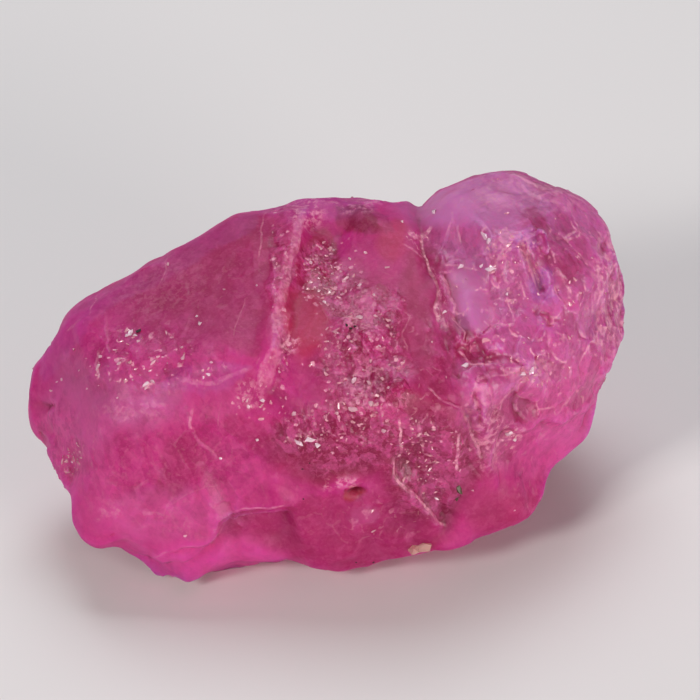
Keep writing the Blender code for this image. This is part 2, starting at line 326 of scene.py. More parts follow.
def crisp_relief(points, normals):
    places = wandered(points)
    lift = np.zeros(len(points))
    for _name, path, height, bevel, (above, below) in STEPS:
        gap, side, share = along_path(places, path)
        reach = np.where(side > 0, below, above)
        drop = ease(0.5 - 0.5 * side * gap / bevel) - 0.5
        lift += height * fading_ends(share) * drop * ease(1 - gap / reach)
    for _name, path, depth, half in CRACKS:
        gap, _side, share = along_path(places, path)
        lift -= depth * fading_ends(share) * ease(1 - gap / (2 * half))
    return points + normals * (lift * facing_out(normals))[:, None]


points, normals = mesh_points(skin.data), mesh_normals(skin.data)
crisp_points = crisp_relief(points, normals)
moved = lengths(crisp_points - points).max()
print("steps:", len(STEPS), " cracks:", len(CRACKS), " moved by up to", round(moved, 3), "mm")

# %% [markdown]
# ## Fuller rims and a hanging lip
# The stone's outline is a little fuller than the solid's in seven places, and its lower
# left lip hangs down as one round bulge. Proportional editing would pull them out by hand.
# Here each rim is an ellipse on the paper, in which the skin that faces sideways moves out,
# and the lip's drop is read off a short list of heights from left to right.

# %% Rims and lip
# name, middle, half width and half height on the sheet, and how far the rim stands out
FULL_RIMS = (
    ("left_end", (-6.85, -0.8), (0.8, 1.4), 0.08),
    ("lower_left", (-5.9, -3.2), (1.0, 1.1), 0.13),
    ("upper_left", (-5.2, 2.1), (1.5, 1.3), 0.11),
    ("lobe_top", (3.4, 4.5), (1.2, 0.6), 0.12),
    ("lobe_right", (6.6, 2.4), (0.5, 1.5), 0.07),
    ("lower_right", (5.8, -0.2), (0.9, 1.2), 0.05),
    ("under_right", (4.6, -2.9), (1.7, 0.8), 0.07),
)
ZONE_EDGE = 0.7
# how far the lower lip hangs at each u, and the heights v between which it starts
LIP_ACROSS = (-4.40, -4.14, -3.84, -3.58, -3.31, -3.11, -2.85, -2.44, -1.92, -1.40, -1.00)
LIP_DROP = (0.00, 0.00, 0.26, 0.32, 0.23, 0.15, 0.10, 0.16, 0.16, 0.07, 0.00)
LIP_START, LIP_FULL = -3.55, -4.15
LIP_FRONT, LIP_FRONT_EDGE = 1.8, 0.6


def zone_weight(places, middle, half):
    """1 in the middle of an ellipse, 0.5 at its edge and 0 outside."""
    reach = lengths((places - np.array(middle)) / np.array(half))[:, 0]
    return ease(0.5 + (1 - reach) / ZONE_EDGE)


def fuller_rim(points, normals):
    places = on_paper(points)[:, :2]
    sideways = normals @ ARROWS[:2].T
    size = lengths(sideways)
    rim = ease((size[:, 0] - 0.75) / 0.2)
    push = rim * sum(amount * zone_weight(places, middle, half) for _name, middle, half, amount in FULL_RIMS)
    return points + push[:, None] * (sideways / np.maximum(size, 1e-6)) @ ARROWS[:2]


def hanging_lip(points):
    places = on_paper(points)
    drop = np.interp(places[:, 0], LIP_ACROSS, LIP_DROP)
    low = ease((LIP_START - places[:, 1]) / (LIP_START - LIP_FULL))
    near = ease((LIP_FRONT - places[:, 2]) / LIP_FRONT_EDGE)
    return points - (drop * low * near)[:, None] * ARROWS[1]


move_points(skin.data, hanging_lip(fuller_rim(crisp_points, normals)))
print("rims:", len(FULL_RIMS), " lip hangs by up to", max(LIP_DROP), "mm")

# %% [markdown]
# ## Where the skin is broken
# Part of the stone is grown or water-worn and smooth, and part is broken into small flat
# chips. A soft mask says how broken each place is; it could be painted by hand as a vertex
# group. Here each zone is an ellipse on the paper, with its edge frayed by noise, and
# calm zones take it away again. The back, which no one sees first, gets random patches.

# %% Broken zones
# name, middle, half width and half height, and how broken or how calm it is
BROKEN_ZONES = (
    ("lobe", (4.75, 1.7), (2.6, 2.9), 0.7),
    ("centre", (0.95, 0.6), (1.15, 2.1), 0.65),
    ("trough", (-0.12, 2.45), (0.6, 0.85), 0.65),
    ("strip", (-1.02, 1.9), (0.25, 2.4), 0.45),
    ("cluster", (0.4, -1.3), (1.7, 0.8), 0.68),
    ("belly", (-3.6, -1.9), (2.4, 1.6), 0.24),
    ("shelf", (-3.0, -3.2), (1.4, 0.6), 0.24),
    ("lower_right", (5.2, -2.0), (1.2, 1.6), 0.2),
    ("ridge", (-4.2, 0.35), (1.8, 0.85), 0.35),
    ("wedge", (2.3, -2.1), (1.05, 1.3), 0.55),
    ("web", (3.6, -1.0), (0.7, 1.2), 0.55),
    ("bottom", (0.8, -3.1), (2.2, 0.8), 0.14),
    ("left_rim", (-6.2, -1.6), (0.55, 1.3), 0.35),
)
CALM_ZONES = (
    ("pink_facet", (3.25, 1.85), (0.5, 0.85), 0.85),
    ("brick_patch", (-0.5, 1.3), (0.5, 0.7), 0.85),
    ("smooth_band", (2.05, 1.6), (0.4, 1.5), 0.8),
    ("lobe_shoulder", (3.6, 4.0), (1.2, 0.55), 0.6),
    ("top_mid", (1.4, 2.75), (0.65, 0.75), 0.7),
    ("top_hollow", (0.45, 3.75), (0.6, 0.4), 0.85),
    ("foot", (0.8, -3.6), (1.7, 0.6), 0.8),
)
BASE_FADE = 0.25
LEAST_BROKEN = 0.10
ZONE_FRAY = ((0.90, 0.30), (0.30, 0.12))
BACK_PATCH = 2.6


def frayed_places(points):
    places = on_paper(points)[:, :2]
    for size, reach in ZONE_FRAY:
        places = places + reach * np.stack([wavy(points, size, 3.0), wavy(points, size, -7.0)], axis=1)
    return places


def zones_together(places, zones):
    """The strongest of the zones at each place."""
    found = np.zeros(len(places))
    for _name, middle, half, amount in zones:
        found = np.maximum(found, amount * zone_weight(places, middle, half))
    return found


def broken_amount(points, normals):
    places = frayed_places(points)
    facing = ease((normals @ ARROWS[2] + 0.25) / 0.4)
    front = np.maximum(LEAST_BROKEN, zones_together(places, BROKEN_ZONES))
    front = front * (1 - zones_together(places, CALM_ZONES))
    back = 0.15 + 0.75 * ease((wavy(points, BACK_PATCH, 12.0) + 0.15) / 0.4)
    off_floor = ease(points[:, 2] / BASE_FADE)
    return off_floor * (facing * front + (1 - facing) * back)


points, normals = mesh_points(skin.data), mesh_normals(skin.data)
keep_values(skin.data, "broken", broken_amount(points, normals))
print("broken zones:", len(BROKEN_ZONES), " calm zones:", len(CALM_ZONES))

# %% [markdown]
# ## Building with nodes
# Materials and Geometry Nodes are both graphs of small steps. They can be drawn by hand in
# the node editor; written as a script they are easier to read, to repeat and to change.
# One function adds any node: its kind, what goes into its sockets, and its settings. A
# socket takes a plain value, another node's output, or a whole node, which then stands for
# its first output.

# %% One helper for every node
MATH, VECTOR, RANGE = "ShaderNodeMath", "ShaderNodeVectorMath", "ShaderNodeMapRange"
MIX, NOISE, CELLS = "ShaderNodeMix", "ShaderNodeTexNoise", "ShaderNodeTexVoronoi"
READ, SPLIT = "ShaderNodeAttribute", "ShaderNodeSeparateXYZ"


def add_node(tree, kind, inputs=None, **settings):
    """Adds a node with its settings, and a value, an output or a node in each input named."""
    made = tree.nodes.new(kind)
    for name, value in settings.items():
        setattr(made, name, value)
    for socket, value in (inputs or {}).items():
        if isinstance(value, bpy.types.Node):
            value = value.outputs[0]
        if isinstance(value, bpy.types.NodeSocket):
            tree.links.new(value, made.inputs[socket])
        else:
            made.inputs[socket].default_value = value
    return made


practice = bpy.data.node_groups.new("practice", "ShaderNodeTree")
example = add_node(practice, MATH, {0: 2.0, 1: 3.0}, operation="MULTIPLY")
print("practice node:", example.operation, [socket.default_value for socket in example.inputs[:2]])
bpy.data.node_groups.remove(practice)

# %% [markdown]
# ## The way the shards lie
# Where corundum breaks it leaves small flat faces, and they are longer one way than the
# other, because the crystal parts along its own planes. Squeezing places along one
# direction before a pattern is made there draws the pattern out in that direction. The
# skin's relief and its colour both use these places, so that they fall on each other.

# %% Places drawn out along the stone's grain
SHARD_WAY = tuple(0.40 * ARROWS[0] - 0.92 * ARROWS[1])
SHARD_SQUEEZE = 0.45
FRAY_PER_MM, FRAY_DETAIL, FRAY_MM = 1.6, 2.0, 0.20
HALF = (0.5, 0.5, 0.5)


def drawn_out(tree, place, squeeze):
    """Places squeezed along the shards, so that a pattern made there comes out long."""
    along = add_node(tree, VECTOR, {0: place, 1: SHARD_WAY}, operation="DOT_PRODUCT").outputs["Value"]
    share = add_node(tree, MATH, {0: along, 1: squeeze}, operation="MULTIPLY")
    excess = add_node(tree, VECTOR, {0: SHARD_WAY, "Scale": share}, operation="SCALE")
    return add_node(tree, VECTOR, {0: place, 1: excess}, operation="SUBTRACT")


def shaken(tree, place, per_mm, detail, reach):
    """Places pushed about by noise, so that the edges of a pattern made there come out ragged."""
    shake = add_node(tree, NOISE, {"Vector": place, "Scale": per_mm / MM, "Detail": detail})
    centred = add_node(tree, VECTOR, {0: shake.outputs["Color"], 1: HALF}, operation="SUBTRACT")
    shift = add_node(tree, VECTOR, {0: centred, "Scale": reach * MM}, operation="SCALE")
    return add_node(tree, VECTOR, {0: place, 1: shift}, operation="ADD")


def frayed_out(tree, place):
    """Places for shards: first shaken, then drawn out."""
    return drawn_out(tree, shaken(tree, place, FRAY_PER_MM, FRAY_DETAIL, FRAY_MM), SHARD_SQUEEZE)


def tile_places(tree, frayed, per_metre, seed):
    """Frayed places scaled so that one shard is one unit, and shifted by the seed."""
    scaled = add_node(tree, VECTOR, {0: frayed, "Scale": per_metre}, operation="SCALE")
    return add_node(tree, VECTOR, {0: scaled, 1: (seed, -seed, 2 * seed)}, operation="ADD")


def tile_lift(tree, tiled):
    """How far along its own cell's random lean each place lies, and a random shade per cell."""
    cells = add_node(tree, CELLS, {"Vector": tiled, "Scale": 1.0})
    lean = add_node(tree, VECTOR, {0: cells.outputs["Color"], 1: HALF}, operation="SUBTRACT")
    offset = add_node(tree, VECTOR, {0: tiled, 1: cells.outputs["Position"]}, operation="SUBTRACT")
    lift = add_node(tree, VECTOR, {0: lean, 1: offset}, operation="DOT_PRODUCT").outputs["Value"]
    return lift, add_node(tree, SPLIT, {0: cells.outputs["Color"]})


print("the shards lie along", np.round(SHARD_WAY, 2).tolist(), "in the room")

# %% [markdown]
# ## Colours
# Colours are written as a paint program shows them, and one function turns them into the
# linear numbers that light is counted in.

# %% Colour helper
def colour(hex_value):
    """An sRGB hex colour as linear red, green, blue and alpha."""
    parts = [int(hex_value[i : i + 2], 16) / 255 for i in (1, 3, 5)]
    linear = [p / 12.92 if p <= 0.04045 else ((p + 0.055) / 1.055) ** 2.4 for p in parts]
    return (*linear, 1.0)


def new_material(name):
    made = bpy.data.materials.new(name)
    made.use_nodes = True
    made.node_tree.nodes.clear()
    return made, made.node_tree


print("middle grey #808080 is", round(colour("#808080")[0], 3), "in linear light")

# %% [markdown]
# ## The ruby
# Ruby is corundum, aluminium oxide with a trace of chromium. Raw, it is translucent rather
# than clear: light goes in, scatters on fine cracks and comes out pink a millimetre or two
# further on. So most of the look is scattering under the skin, part is plain transmission
# with absorption for depth, and the gloss is soft, because no one has polished it. These
# are its colours, from its body to the paints of single zones, and the sizes of its shards.

# %% Ruby colours and shard sizes
RUBY_BODY = ("#CE1480", "#DE2890")
RUBY_DARK, RUBY_LIGHT, RUBY_PALE = "#9C0A4A", "#F064AC", "#EAA6B8"
RUBY_PAINTS = {
    # milky lilac of the stone, also painted sheen where light from above falls on the lobe's top
    "milky": "#E494D0",
    # deep red of thick stone, and painted shade in hollows and recesses
    "deep": "#AA064E",
    # painted glow: brighter magenta where light would shine through thin edges
    "glow": "#F84CAE",
    "brick": "#C82856",
    "violet": "#B478DC",
    "rust": "#C01030",
    "shadow": "#7A0440",
}
# for each size of shard: its width in mm, how far it can lift its edge, and a seed
SHARDS = {"Large": (1.10, 0.22, 3.0), "Middle": (0.50, 0.11, 7.0), "Small": (0.24, 0.04, 11.0)}
CRUMB_MM, CRUMB_SEED = 0.15, 5.0
print("paints:", len(RUBY_PAINTS), " shards:", SHARDS)

# %% [markdown]
# ## Crushed marks
# Where ruby is bruised it turns pale, because the light scatters on crushed edges before it
# can go in. Four patterns say where: veins along drawn lines, round grains, curled strokes,
# and seams where two shards meet. Each is built from a few nodes as a number from 0 to 1.
# Painted marks could be placed more exactly, but these stay fine from close by.

# %% Patterns of crushed ruby
SMOOTH, STRAIGHT = {"interpolation_type": "SMOOTHSTEP"}, {"interpolation_type": "LINEAR"}
GRAINS_PER_MM = 7.5
GRAIN_LEAST, GRAIN_SPREAD = 0.20, 0.30
GRAIN_SHAKE = (12.0, 1.0, 0.09)
FLECKS_PER_MM, FLECK_BREAKS_PER_MM = 2.1, 4.8
FLECK_SHIFT = (0.03, 0.01, 0.02)


def crushed_lines(tree, mottle):
    """Pale veins: crisp on the left, ragged on the right, and broken up along their way."""
    vein = add_node(tree, READ, attribute_name="vein").outputs["Vector"]
    signed, close, paleness = add_node(tree, SPLIT, {0: vein}).outputs
    off = add_node(tree, MATH, {0: signed}, operation="ABSOLUTE")
    ragged = add_node(tree, RANGE, {0: signed, 1: -0.6, 2: 0.6, 3: 0.35, 4: 1.5}, **SMOOTH)
    torn = add_node(tree, MATH, {0: mottle, 1: 0.5}, operation="SUBTRACT")
    off = add_node(tree, MATH, {0: torn, 1: ragged, 2: off}, operation="MULTIPLY_ADD")
    line = add_node(tree, RANGE, {0: off, 1: 1.10, 2: 0.80}, **SMOOTH)
    near = add_node(tree, RANGE, {0: close, 1: 0.5, 2: 0.7}, **SMOOTH)
    worn = add_node(tree, RANGE, {0: mottle, 1: 0.34, 2: 0.54, 3: 0.35, 4: 1.0}, **SMOOTH)
    for share in (near, worn, paleness):
        line = add_node(tree, MATH, {0: line, 1: share}, operation="MULTIPLY")
    return line


def crushed_grains(tree, place, amount):
    """Round pale grains a tenth of a millimetre wide, more of them where the amount is high."""
    where = shaken(tree, place, *GRAIN_SHAKE)
    cells = add_node(tree, CELLS, {"Vector": where, "Scale": GRAINS_PER_MM / MM})
    chance, size, bright = add_node(tree, SPLIT, {0: cells.outputs["Color"]}).outputs
    enough = add_node(tree, MATH, {0: 1.0, 1: amount}, operation="SUBTRACT")
    present = add_node(tree, MATH, {0: chance, 1: enough}, operation="GREATER_THAN")
    radius = add_node(tree, MATH, {0: size, 1: GRAIN_SPREAD, 2: GRAIN_LEAST}, operation="MULTIPLY_ADD")
    inside = add_node(tree, MATH, {0: radius, 1: cells.outputs["Distance"]}, operation="SUBTRACT")
    grain = add_node(tree, RANGE, {0: inside, 1: 0.0, 2: 0.07}, **SMOOTH)
    shade = add_node(tree, RANGE, {0: bright, 3: 0.45, 4: 1.0})
    for share in (present, shade):
        grain = add_node(tree, MATH, {0: grain, 1: share}, operation="MULTIPLY")
    return grain


def curled_flecks(tree, place, amount):
    """Short curled strokes, stronger where the amount is high."""
    curl_settings = {"Scale": FLECKS_PER_MM / MM, "Detail": 1.0, "Distortion": 0.5}
    curl = add_node(tree, NOISE, {"Vector": place, **curl_settings})
    centred = add_node(tree, MATH, {0: curl, 1: 0.5}, operation="SUBTRACT")
    off = add_node(tree, MATH, {0: centred}, operation="ABSOLUTE")
    stroke = add_node(tree, RANGE, {0: off, 1: 0.045, 2: 0.022}, **SMOOTH)
    moved = add_node(tree, VECTOR, {0: place, 1: FLECK_SHIFT}, operation="ADD")
    breaks = add_node(tree, NOISE, {"Vector": moved, "Scale": FLECK_BREAKS_PER_MM / MM, "Detail": 2.0})
    piece = add_node(tree, RANGE, {0: breaks, 1: 0.54, 2: 0.58}, **SMOOTH)
    for share in (piece, amount):
        stroke = add_node(tree, MATH, {0: stroke, 1: share}, operation="MULTIPLY")
    return stroke


def shard_seams(tree, tiled, mottle, amount):
    """Thin pale lines where two shards meet, on some of the seams, stronger where the amount is high."""
    gap = add_node(tree, CELLS, {"Vector": tiled, "Scale": 1.0}, feature="DISTANCE_TO_EDGE")
    line = add_node(tree, RANGE, {0: gap, 1: 0.050, 2: 0.018}, **SMOOTH)
    some = add_node(tree, RANGE, {0: mottle, 1: 0.50, 2: 0.58}, **SMOOTH)
    for share in (some, amount):
        line = add_node(tree, MATH, {0: line, 1: share}, operation="MULTIPLY")
    return line


widest = 2 * (GRAIN_LEAST + GRAIN_SPREAD) / GRAINS_PER_MM
print("crushed grains are up to", round(widest, 2), "mm wide")

# %% [markdown]
# ## What the ruby's colour reads
# Light comes back from all depths of a raw ruby, so its colour is cloudy at the size of the
# stone, mottled at the size of a grain and streaked along its shards. Six noises give those
# sizes. The values kept with the mesh say where each thing belongs: broken skin shows all
# of them, smooth skin and skin under the milky coat, which is partly painted sheen, only a few.

# %% Noises and kept values
# name: waves per mm, detail, roughness, distortion
RUBY_NOISES = {
    "clouds": (0.42, 2.0, 0.6, 0.0),
    "blotch": (1.3, 3.0, 0.6, 0.8),
    "mottle": (3.2, 2.0, 0.7, 0.0),
    "streak": (5.0, 3.0, 0.5, 0.0),
    "crumb": (6.5, 3.0, 0.7, 0.0),
    "grit": (12.0, 2.0, 0.5, 0.0),
}
NOISE_SOCKETS = ("Scale", "Detail", "Roughness", "Distortion")
STREAK_SQUEEZE = 0.72
KEPT_VALUES = ("broken", "bend", "frost", "grains", "flecks", "edges", *RUBY_PAINTS)
# name: the share of a layer left on skin that is hardly broken
HELD_BACK = {"quiet": 0.22, "hushed": 0.40}


def ruby_inputs(tree):
    """By name: the places, noises, kept values, restraints and shards that the ruby reads."""
    place = add_node(tree, "ShaderNodeTexCoord").outputs["Object"]
    found = {"place": place}
    for name in KEPT_VALUES:
        found[name] = add_node(tree, READ, attribute_name=name).outputs["Fac"]
    long_place = drawn_out(tree, place, STREAK_SQUEEZE)
    for name, (per_mm, *others) in RUBY_NOISES.items():
        where = long_place if name == "streak" else place
        values = dict(zip(NOISE_SOCKETS, (per_mm / MM, *others)))
        found[name] = add_node(tree, NOISE, {"Vector": where, **values})
    found["filled"] = add_node(tree, MATH, {0: found["milky"], 1: -0.80, 2: 1.0}, operation="MULTIPLY_ADD")
    torn = add_node(tree, RANGE, {0: found["broken"], 1: 0.1, 2: 0.8, 3: 0.14, 4: 1.0})
    found["rugged"] = add_node(tree, MATH, {0: torn, 1: found["filled"]}, operation="MULTIPLY")
    for name, least in HELD_BACK.items():
        found[name] = add_node(tree, RANGE, {0: found["rugged"], 1: 0.1, 2: 0.8, 3: least, 4: 1.0})
    frayed = frayed_out(tree, add_node(tree, READ, attribute_name="grown_place").outputs["Vector"])
    width, _lift, seed = SHARDS["Middle"]
    found["shards"] = tile_places(tree, frayed, 1 / (width * MM), seed)
    crumbs = tile_places(tree, frayed, 1 / (CRUMB_MM * MM), CRUMB_SEED)
    found["shard_shade"] = tile_lift(tree, found["shards"])[1]
    found["crumb_shade"] = tile_lift(tree, crumbs)[1]
    return found


print("noises:", len(RUBY_NOISES), " kept values:", len(KEPT_VALUES))

# %% [markdown]
# ## Layers of colour
# The colour is built as a painter would glaze it: a body colour, a thin coat for each zone,
# then darker and lighter marks from large to small, with each shard and crumb a little
# lighter or darker as its tilted face would meet the light (painted light and shade), and
# painted shade in the creases. Each coat is a pattern turned into a share, held back where
# the skin is calm, and mixed over the coat below. One table says it all, so a coat can be
# changed or left out in one line.

# %% The ruby's colour
# pattern, where the coat starts and is full, its strongest share, its colour, what holds it back
RUBY_COATS = (
    ("blotch", 0.52, 0.36, 0.45, RUBY_DARK, "quiet"),
    ("blotch", 0.50, 0.56, 0.24, RUBY_LIGHT, "hushed"),
    ("mottle", 0.55, 0.61, 0.25, RUBY_LIGHT, "hushed"),
    ("streak", 0.54, 0.60, 0.30, RUBY_LIGHT, "rugged"),
    ("streak", 0.48, 0.40, 0.40, RUBY_DARK, "rugged"),
    ("crumb", 0.55, 0.59, 0.42, RUBY_LIGHT, "rugged"),
    ("crumb", 0.45, 0.40, 0.45, RUBY_DARK, "rugged"),
    ("grit", 0.55, 0.60, 0.40, RUBY_LIGHT, "rugged"),
    ("grit", 0.46, 0.40, 0.40, RUBY_DARK, "rugged"),
    # each shard and crumb a little lighter or darker, as its tilted face would meet the light: painted light
    # and shade
    ("shard_shade", 0.55, 0.85, 0.40, RUBY_LIGHT, "broken"),
    ("shard_shade", 0.35, 0.15, 0.45, RUBY_DARK, "broken"),
    ("crumb_shade", 0.66, 0.80, 0.45, RUBY_LIGHT, "rugged"),
    ("crumb_shade", 0.34, 0.22, 0.50, RUBY_DARK, "rugged"),
    # painted shade in the creases
    ("bend", -1.5, -6.0, 0.60, RUBY_DARK, "filled"),
)


def ruby_tint(tree, inputs):
    """The ruby's colour before its crushed marks."""
    share = add_node(tree, RANGE, {0: inputs["clouds"], 1: 0.35, 2: 0.65}, **SMOOTH)
    one, other = (colour(body) for body in RUBY_BODY)
    tint = add_node(tree, MIX, {0: share, 6: one, 7: other}, data_type="RGBA").outputs[2]
    uneven = add_node(tree, RANGE, {0: inputs["clouds"], 1: 0.2, 2: 0.5, 3: 0.6, 4: 1.0}, **SMOOTH)
    coats = [(inputs[zone], uneven, paint) for zone, paint in RUBY_PAINTS.items()]
    for pattern, start, full, most, paint, held in RUBY_COATS:
        curve = STRAIGHT if pattern == "shard_shade" else SMOOTH
        share = add_node(tree, RANGE, {0: inputs[pattern], 1: start, 2: full, 4: most}, **curve)
        coats.append((share, inputs[held], paint))
    for share, held, paint in coats:
        share = add_node(tree, MATH, {0: share, 1: held}, operation="MULTIPLY")
        tint = add_node(tree, MIX, {0: share, 6: tint, 7: colour(paint)}, data_type="RGBA").outputs[2]
    return tint


def ruby_paleness(tree, inputs):
    """How crushed and pale each place is, from 0 to 1."""
    worn = add_node(tree, RANGE, {0: inputs["bend"], 1: 2.0, 2: 8.0, 4: 0.5}, **SMOOTH)
    patchy = add_node(tree, RANGE, {0: inputs["crumb"], 1: 0.47, 2: 0.57}, **SMOOTH)
    pale = add_node(tree, MATH, {0: worn, 1: patchy}, operation="MULTIPLY")
    for more in (
        add_node(tree, MATH, {0: inputs["frost"], 1: patchy}, operation="MULTIPLY"),
        crushed_lines(tree, inputs["mottle"]),
        crushed_grains(tree, inputs["place"], inputs["grains"]),
        curled_flecks(tree, inputs["place"], inputs["flecks"]),
        shard_seams(tree, inputs["shards"], inputs["mottle"], inputs["edges"]),
    ):
        pale = add_node(tree, MATH, {0: pale, 1: more}, operation="MAXIMUM")
    speckled = add_node(tree, RANGE, {0: inputs["grit"], 1: 0.40, 2: 0.56, 3: 0.45, 4: 1.0}, **SMOOTH)
    return add_node(tree, MATH, {0: pale, 1: speckled}, operation="MULTIPLY")


print("coats of colour:", 1 + len(RUBY_PAINTS) + len(RUBY_COATS) + 1)

# %% [markdown]
# ## Gloss, depth and fine relief
# Crushed marks are dull and let little light in; worn skin is dull too, and fresh breaks
# shine. Fine relief is left to bump: it is a few hundredths of a millimetre high, which
# would need millions of triangles as real shape. The volume absorbs green first, then
# blue, so a thick place turns red and a thin one stays pink.

# %% The ruby's shader
RUBY_IOR = 1.77
BUMP_MM = {"grit": 0.006, "streak": 0.030, "crumb": 0.045}
SCATTER_MM = 1.2
SCATTER_RGB = (1.0, 0.25, 0.75)
ABSORBED, ABSORPTION = (0.99, 0.15, 0.82, 1), 170.0


def ruby_material():
    # Natural corundum (ruby): broken and a little worn by water, never cut or polished.
    material, tree = new_material("corundum_ruby")
    inputs = ruby_inputs(tree)
    pale = ruby_paleness(tree, inputs)
    coated = {0: pale, 6: ruby_tint(tree, inputs), 7: colour(RUBY_PALE)}
    calm = add_node(tree, MATH, {0: 0.75, 1: inputs["broken"]}, operation="SUBTRACT")
    dull = add_node(tree, MATH, {0: pale, 1: calm}, operation="MAXIMUM")
    height = add_node(tree, MATH, {0: inputs["grit"], 1: BUMP_MM["grit"]}, operation="MULTIPLY")
    for name in ("streak", "crumb"):
        rise = add_node(tree, MATH, {0: inputs[name], 1: inputs["rugged"]}, operation="MULTIPLY")
        height = add_node(tree, MATH, {0: rise, 1: BUMP_MM[name], 2: height}, operation="MULTIPLY_ADD")
    shader = add_node(
        tree,
        "ShaderNodeBsdfPrincipled",
        {
            "Base Color": add_node(tree, MIX, coated, data_type="RGBA").outputs[2],
            "Roughness": add_node(tree, RANGE, {0: dull, 2: 0.75, 3: 0.30, 4: 0.58}),
            "IOR": RUBY_IOR,
            "Specular IOR Level": 0.08,
            "Subsurface Weight": add_node(tree, RANGE, {0: pale, 3: 1.0, 4: 0.3}),
            "Subsurface Radius": SCATTER_RGB,
            "Subsurface Scale": SCATTER_MM * MM,
            "Transmission Weight": add_node(tree, RANGE, {0: pale, 2: 0.8, 3: 0.36, 4: 0.03}),
            "Normal": add_node(tree, "ShaderNodeBump", {"Height": height, "Strength": 1.0, "Distance": MM}),
        },
    )
    depth = add_node(tree, "ShaderNodeVolumeAbsorption", {"Color": ABSORBED, "Density": ABSORPTION})
    add_node(tree, "ShaderNodeOutputMaterial", {"Surface": shader, "Volume": depth})
    return material


RUBY = ruby_material()
print("the ruby's nodes:", len(RUBY.node_tree.nodes))

# %% [markdown]
# ## Trees and their inputs
# A Geometry Nodes tree is a recipe that runs on a mesh. Its named inputs are the numbers
# one would want to change, and they show up on the piece's modifier. Every tree here ends
# the same way: copies are made real, and the material is put on.

# %% Starting, ending and using a tree
def new_tree(name, inputs):
    """A Geometry Nodes tree with a mesh in, a mesh out and the named inputs."""
    tree = bpy.data.node_groups.new(name, "GeometryNodeTree")
    tree.interface.new_socket("Mesh", in_out="INPUT", socket_type="NodeSocketGeometry")
    for label, kind, value in (*inputs, ("Material", "Material", None)):
        made = tree.interface.new_socket(label, in_out="INPUT", socket_type="NodeSocket" + kind)
        if value is not None:
            made.default_value = value
    tree.interface.new_socket("Mesh", in_out="OUTPUT", socket_type="NodeSocketGeometry")
    return tree, add_node(tree, "NodeGroupInput")


def end_tree(tree, given, geometry):
    real = add_node(tree, "GeometryNodeRealizeInstances", {0: geometry})
    dress = {"Geometry": real, "Material": given.outputs["Material"]}
    add_node(tree, "NodeGroupOutput", {0: add_node(tree, "GeometryNodeSetMaterial", dress)})


def use_tree(piece, tree, **values):
    """Puts the tree on the piece, with each input set by its socket's identifier."""
    worn = piece.modifiers.new(tree.name, "NODES")
    worn.node_group = tree
    for item in tree.interface.items_tree:
        label = item.name.replace(" ", "_").lower()
        if item.in_out == "INPUT" and label in values:
            worn[item.identifier] = values[label]
    print(tree.name, "on", piece.name, "with", sorted(values))


# %% [markdown]
# ## Shards in relief
# The cells that shade the colour now move the skin. Three sizes of shard lean at random, the
# small ones least, and only where the skin is broken. Carving each by hand is how one would
# make a single hero shard; a tree does the other thousand.

# %% The tree that tilts the shards
def shard_tree():
    inputs = []
    for size, (width, lift, _seed) in SHARDS.items():
        inputs += [(size + " Width", "Float", width * MM), (size + " Lift", "Float", lift * MM)]
    tree, given = new_tree("tilted_shards", inputs)
    place = add_node(tree, "GeometryNodeInputPosition").outputs[0]
    broken = add_node(tree, "GeometryNodeInputNamedAttribute", {"Name": "broken"}, data_type="FLOAT")
    frayed = frayed_out(tree, place)
    total = 0.0
    for size, (_width, _lift, seed) in SHARDS.items():
        width, most = given.outputs[size + " Width"], given.outputs[size + " Lift"]
        per_metre = add_node(tree, MATH, {0: 1.0, 1: width}, operation="DIVIDE").outputs[0]
        lift, _shade = tile_lift(tree, tile_places(tree, frayed, per_metre, seed))
        total = add_node(tree, MATH, {0: lift, 1: most, 2: total}, operation="MULTIPLY_ADD").outputs[0]
    masked = add_node(tree, MATH, {0: total, 1: broken.outputs["Attribute"]}, operation="MULTIPLY")
    normal = add_node(tree, "GeometryNodeInputNormal")
    push = add_node(tree, VECTOR, {0: normal, "Scale": masked}, operation="SCALE")
    keep = {"Geometry": given.outputs["Mesh"], "Name": "grown_place", "Value": place}
    kept = add_node(tree, "GeometryNodeStoreNamedAttribute", keep, data_type="FLOAT_VECTOR")
    end_tree(tree, given, add_node(tree, "GeometryNodeSetPosition", {"Geometry": kept, "Offset": push}))
    return tree


SHARD_TREE = shard_tree()
print("shard tree:", len(SHARD_TREE.nodes), "nodes")

# %% [markdown]
# ## Tilting, settling and thinning
# The tree runs on the fine skin. A round of smoothing then takes the stair steps off the
# cliffs between shards, and thinning the net afterwards saves triangles on flat ground.
# Nothing may hang below the floor, so the lowest points are put back on it.

# %% Tile the skin
SKIN_KEPT = 0.38

shard_sizes = {size.lower() + "_width": width * MM for size, (width, _lift, _seed) in SHARDS.items()}
shard_sizes |= {size.lower() + "_lift": lift * MM for size, (_width, lift, _seed) in SHARDS.items()}
use_tree(skin, SHARD_TREE, material=RUBY, **shard_sizes)
settle = skin.modifiers.new("settle", "SMOOTH")
settle.factor = 0.5
settle.iterations = 1
thin = skin.modifiers.new("thin", "DECIMATE")
thin.ratio = SKIN_KEPT
finished_mesh(skin)
points = mesh_points(skin.data)
points[:, 2] = np.maximum(points[:, 2], 0)
move_points(skin.data, points)
print("skin:", sum(len(face.vertices) - 2 for face in skin.data.polygons), "triangles")
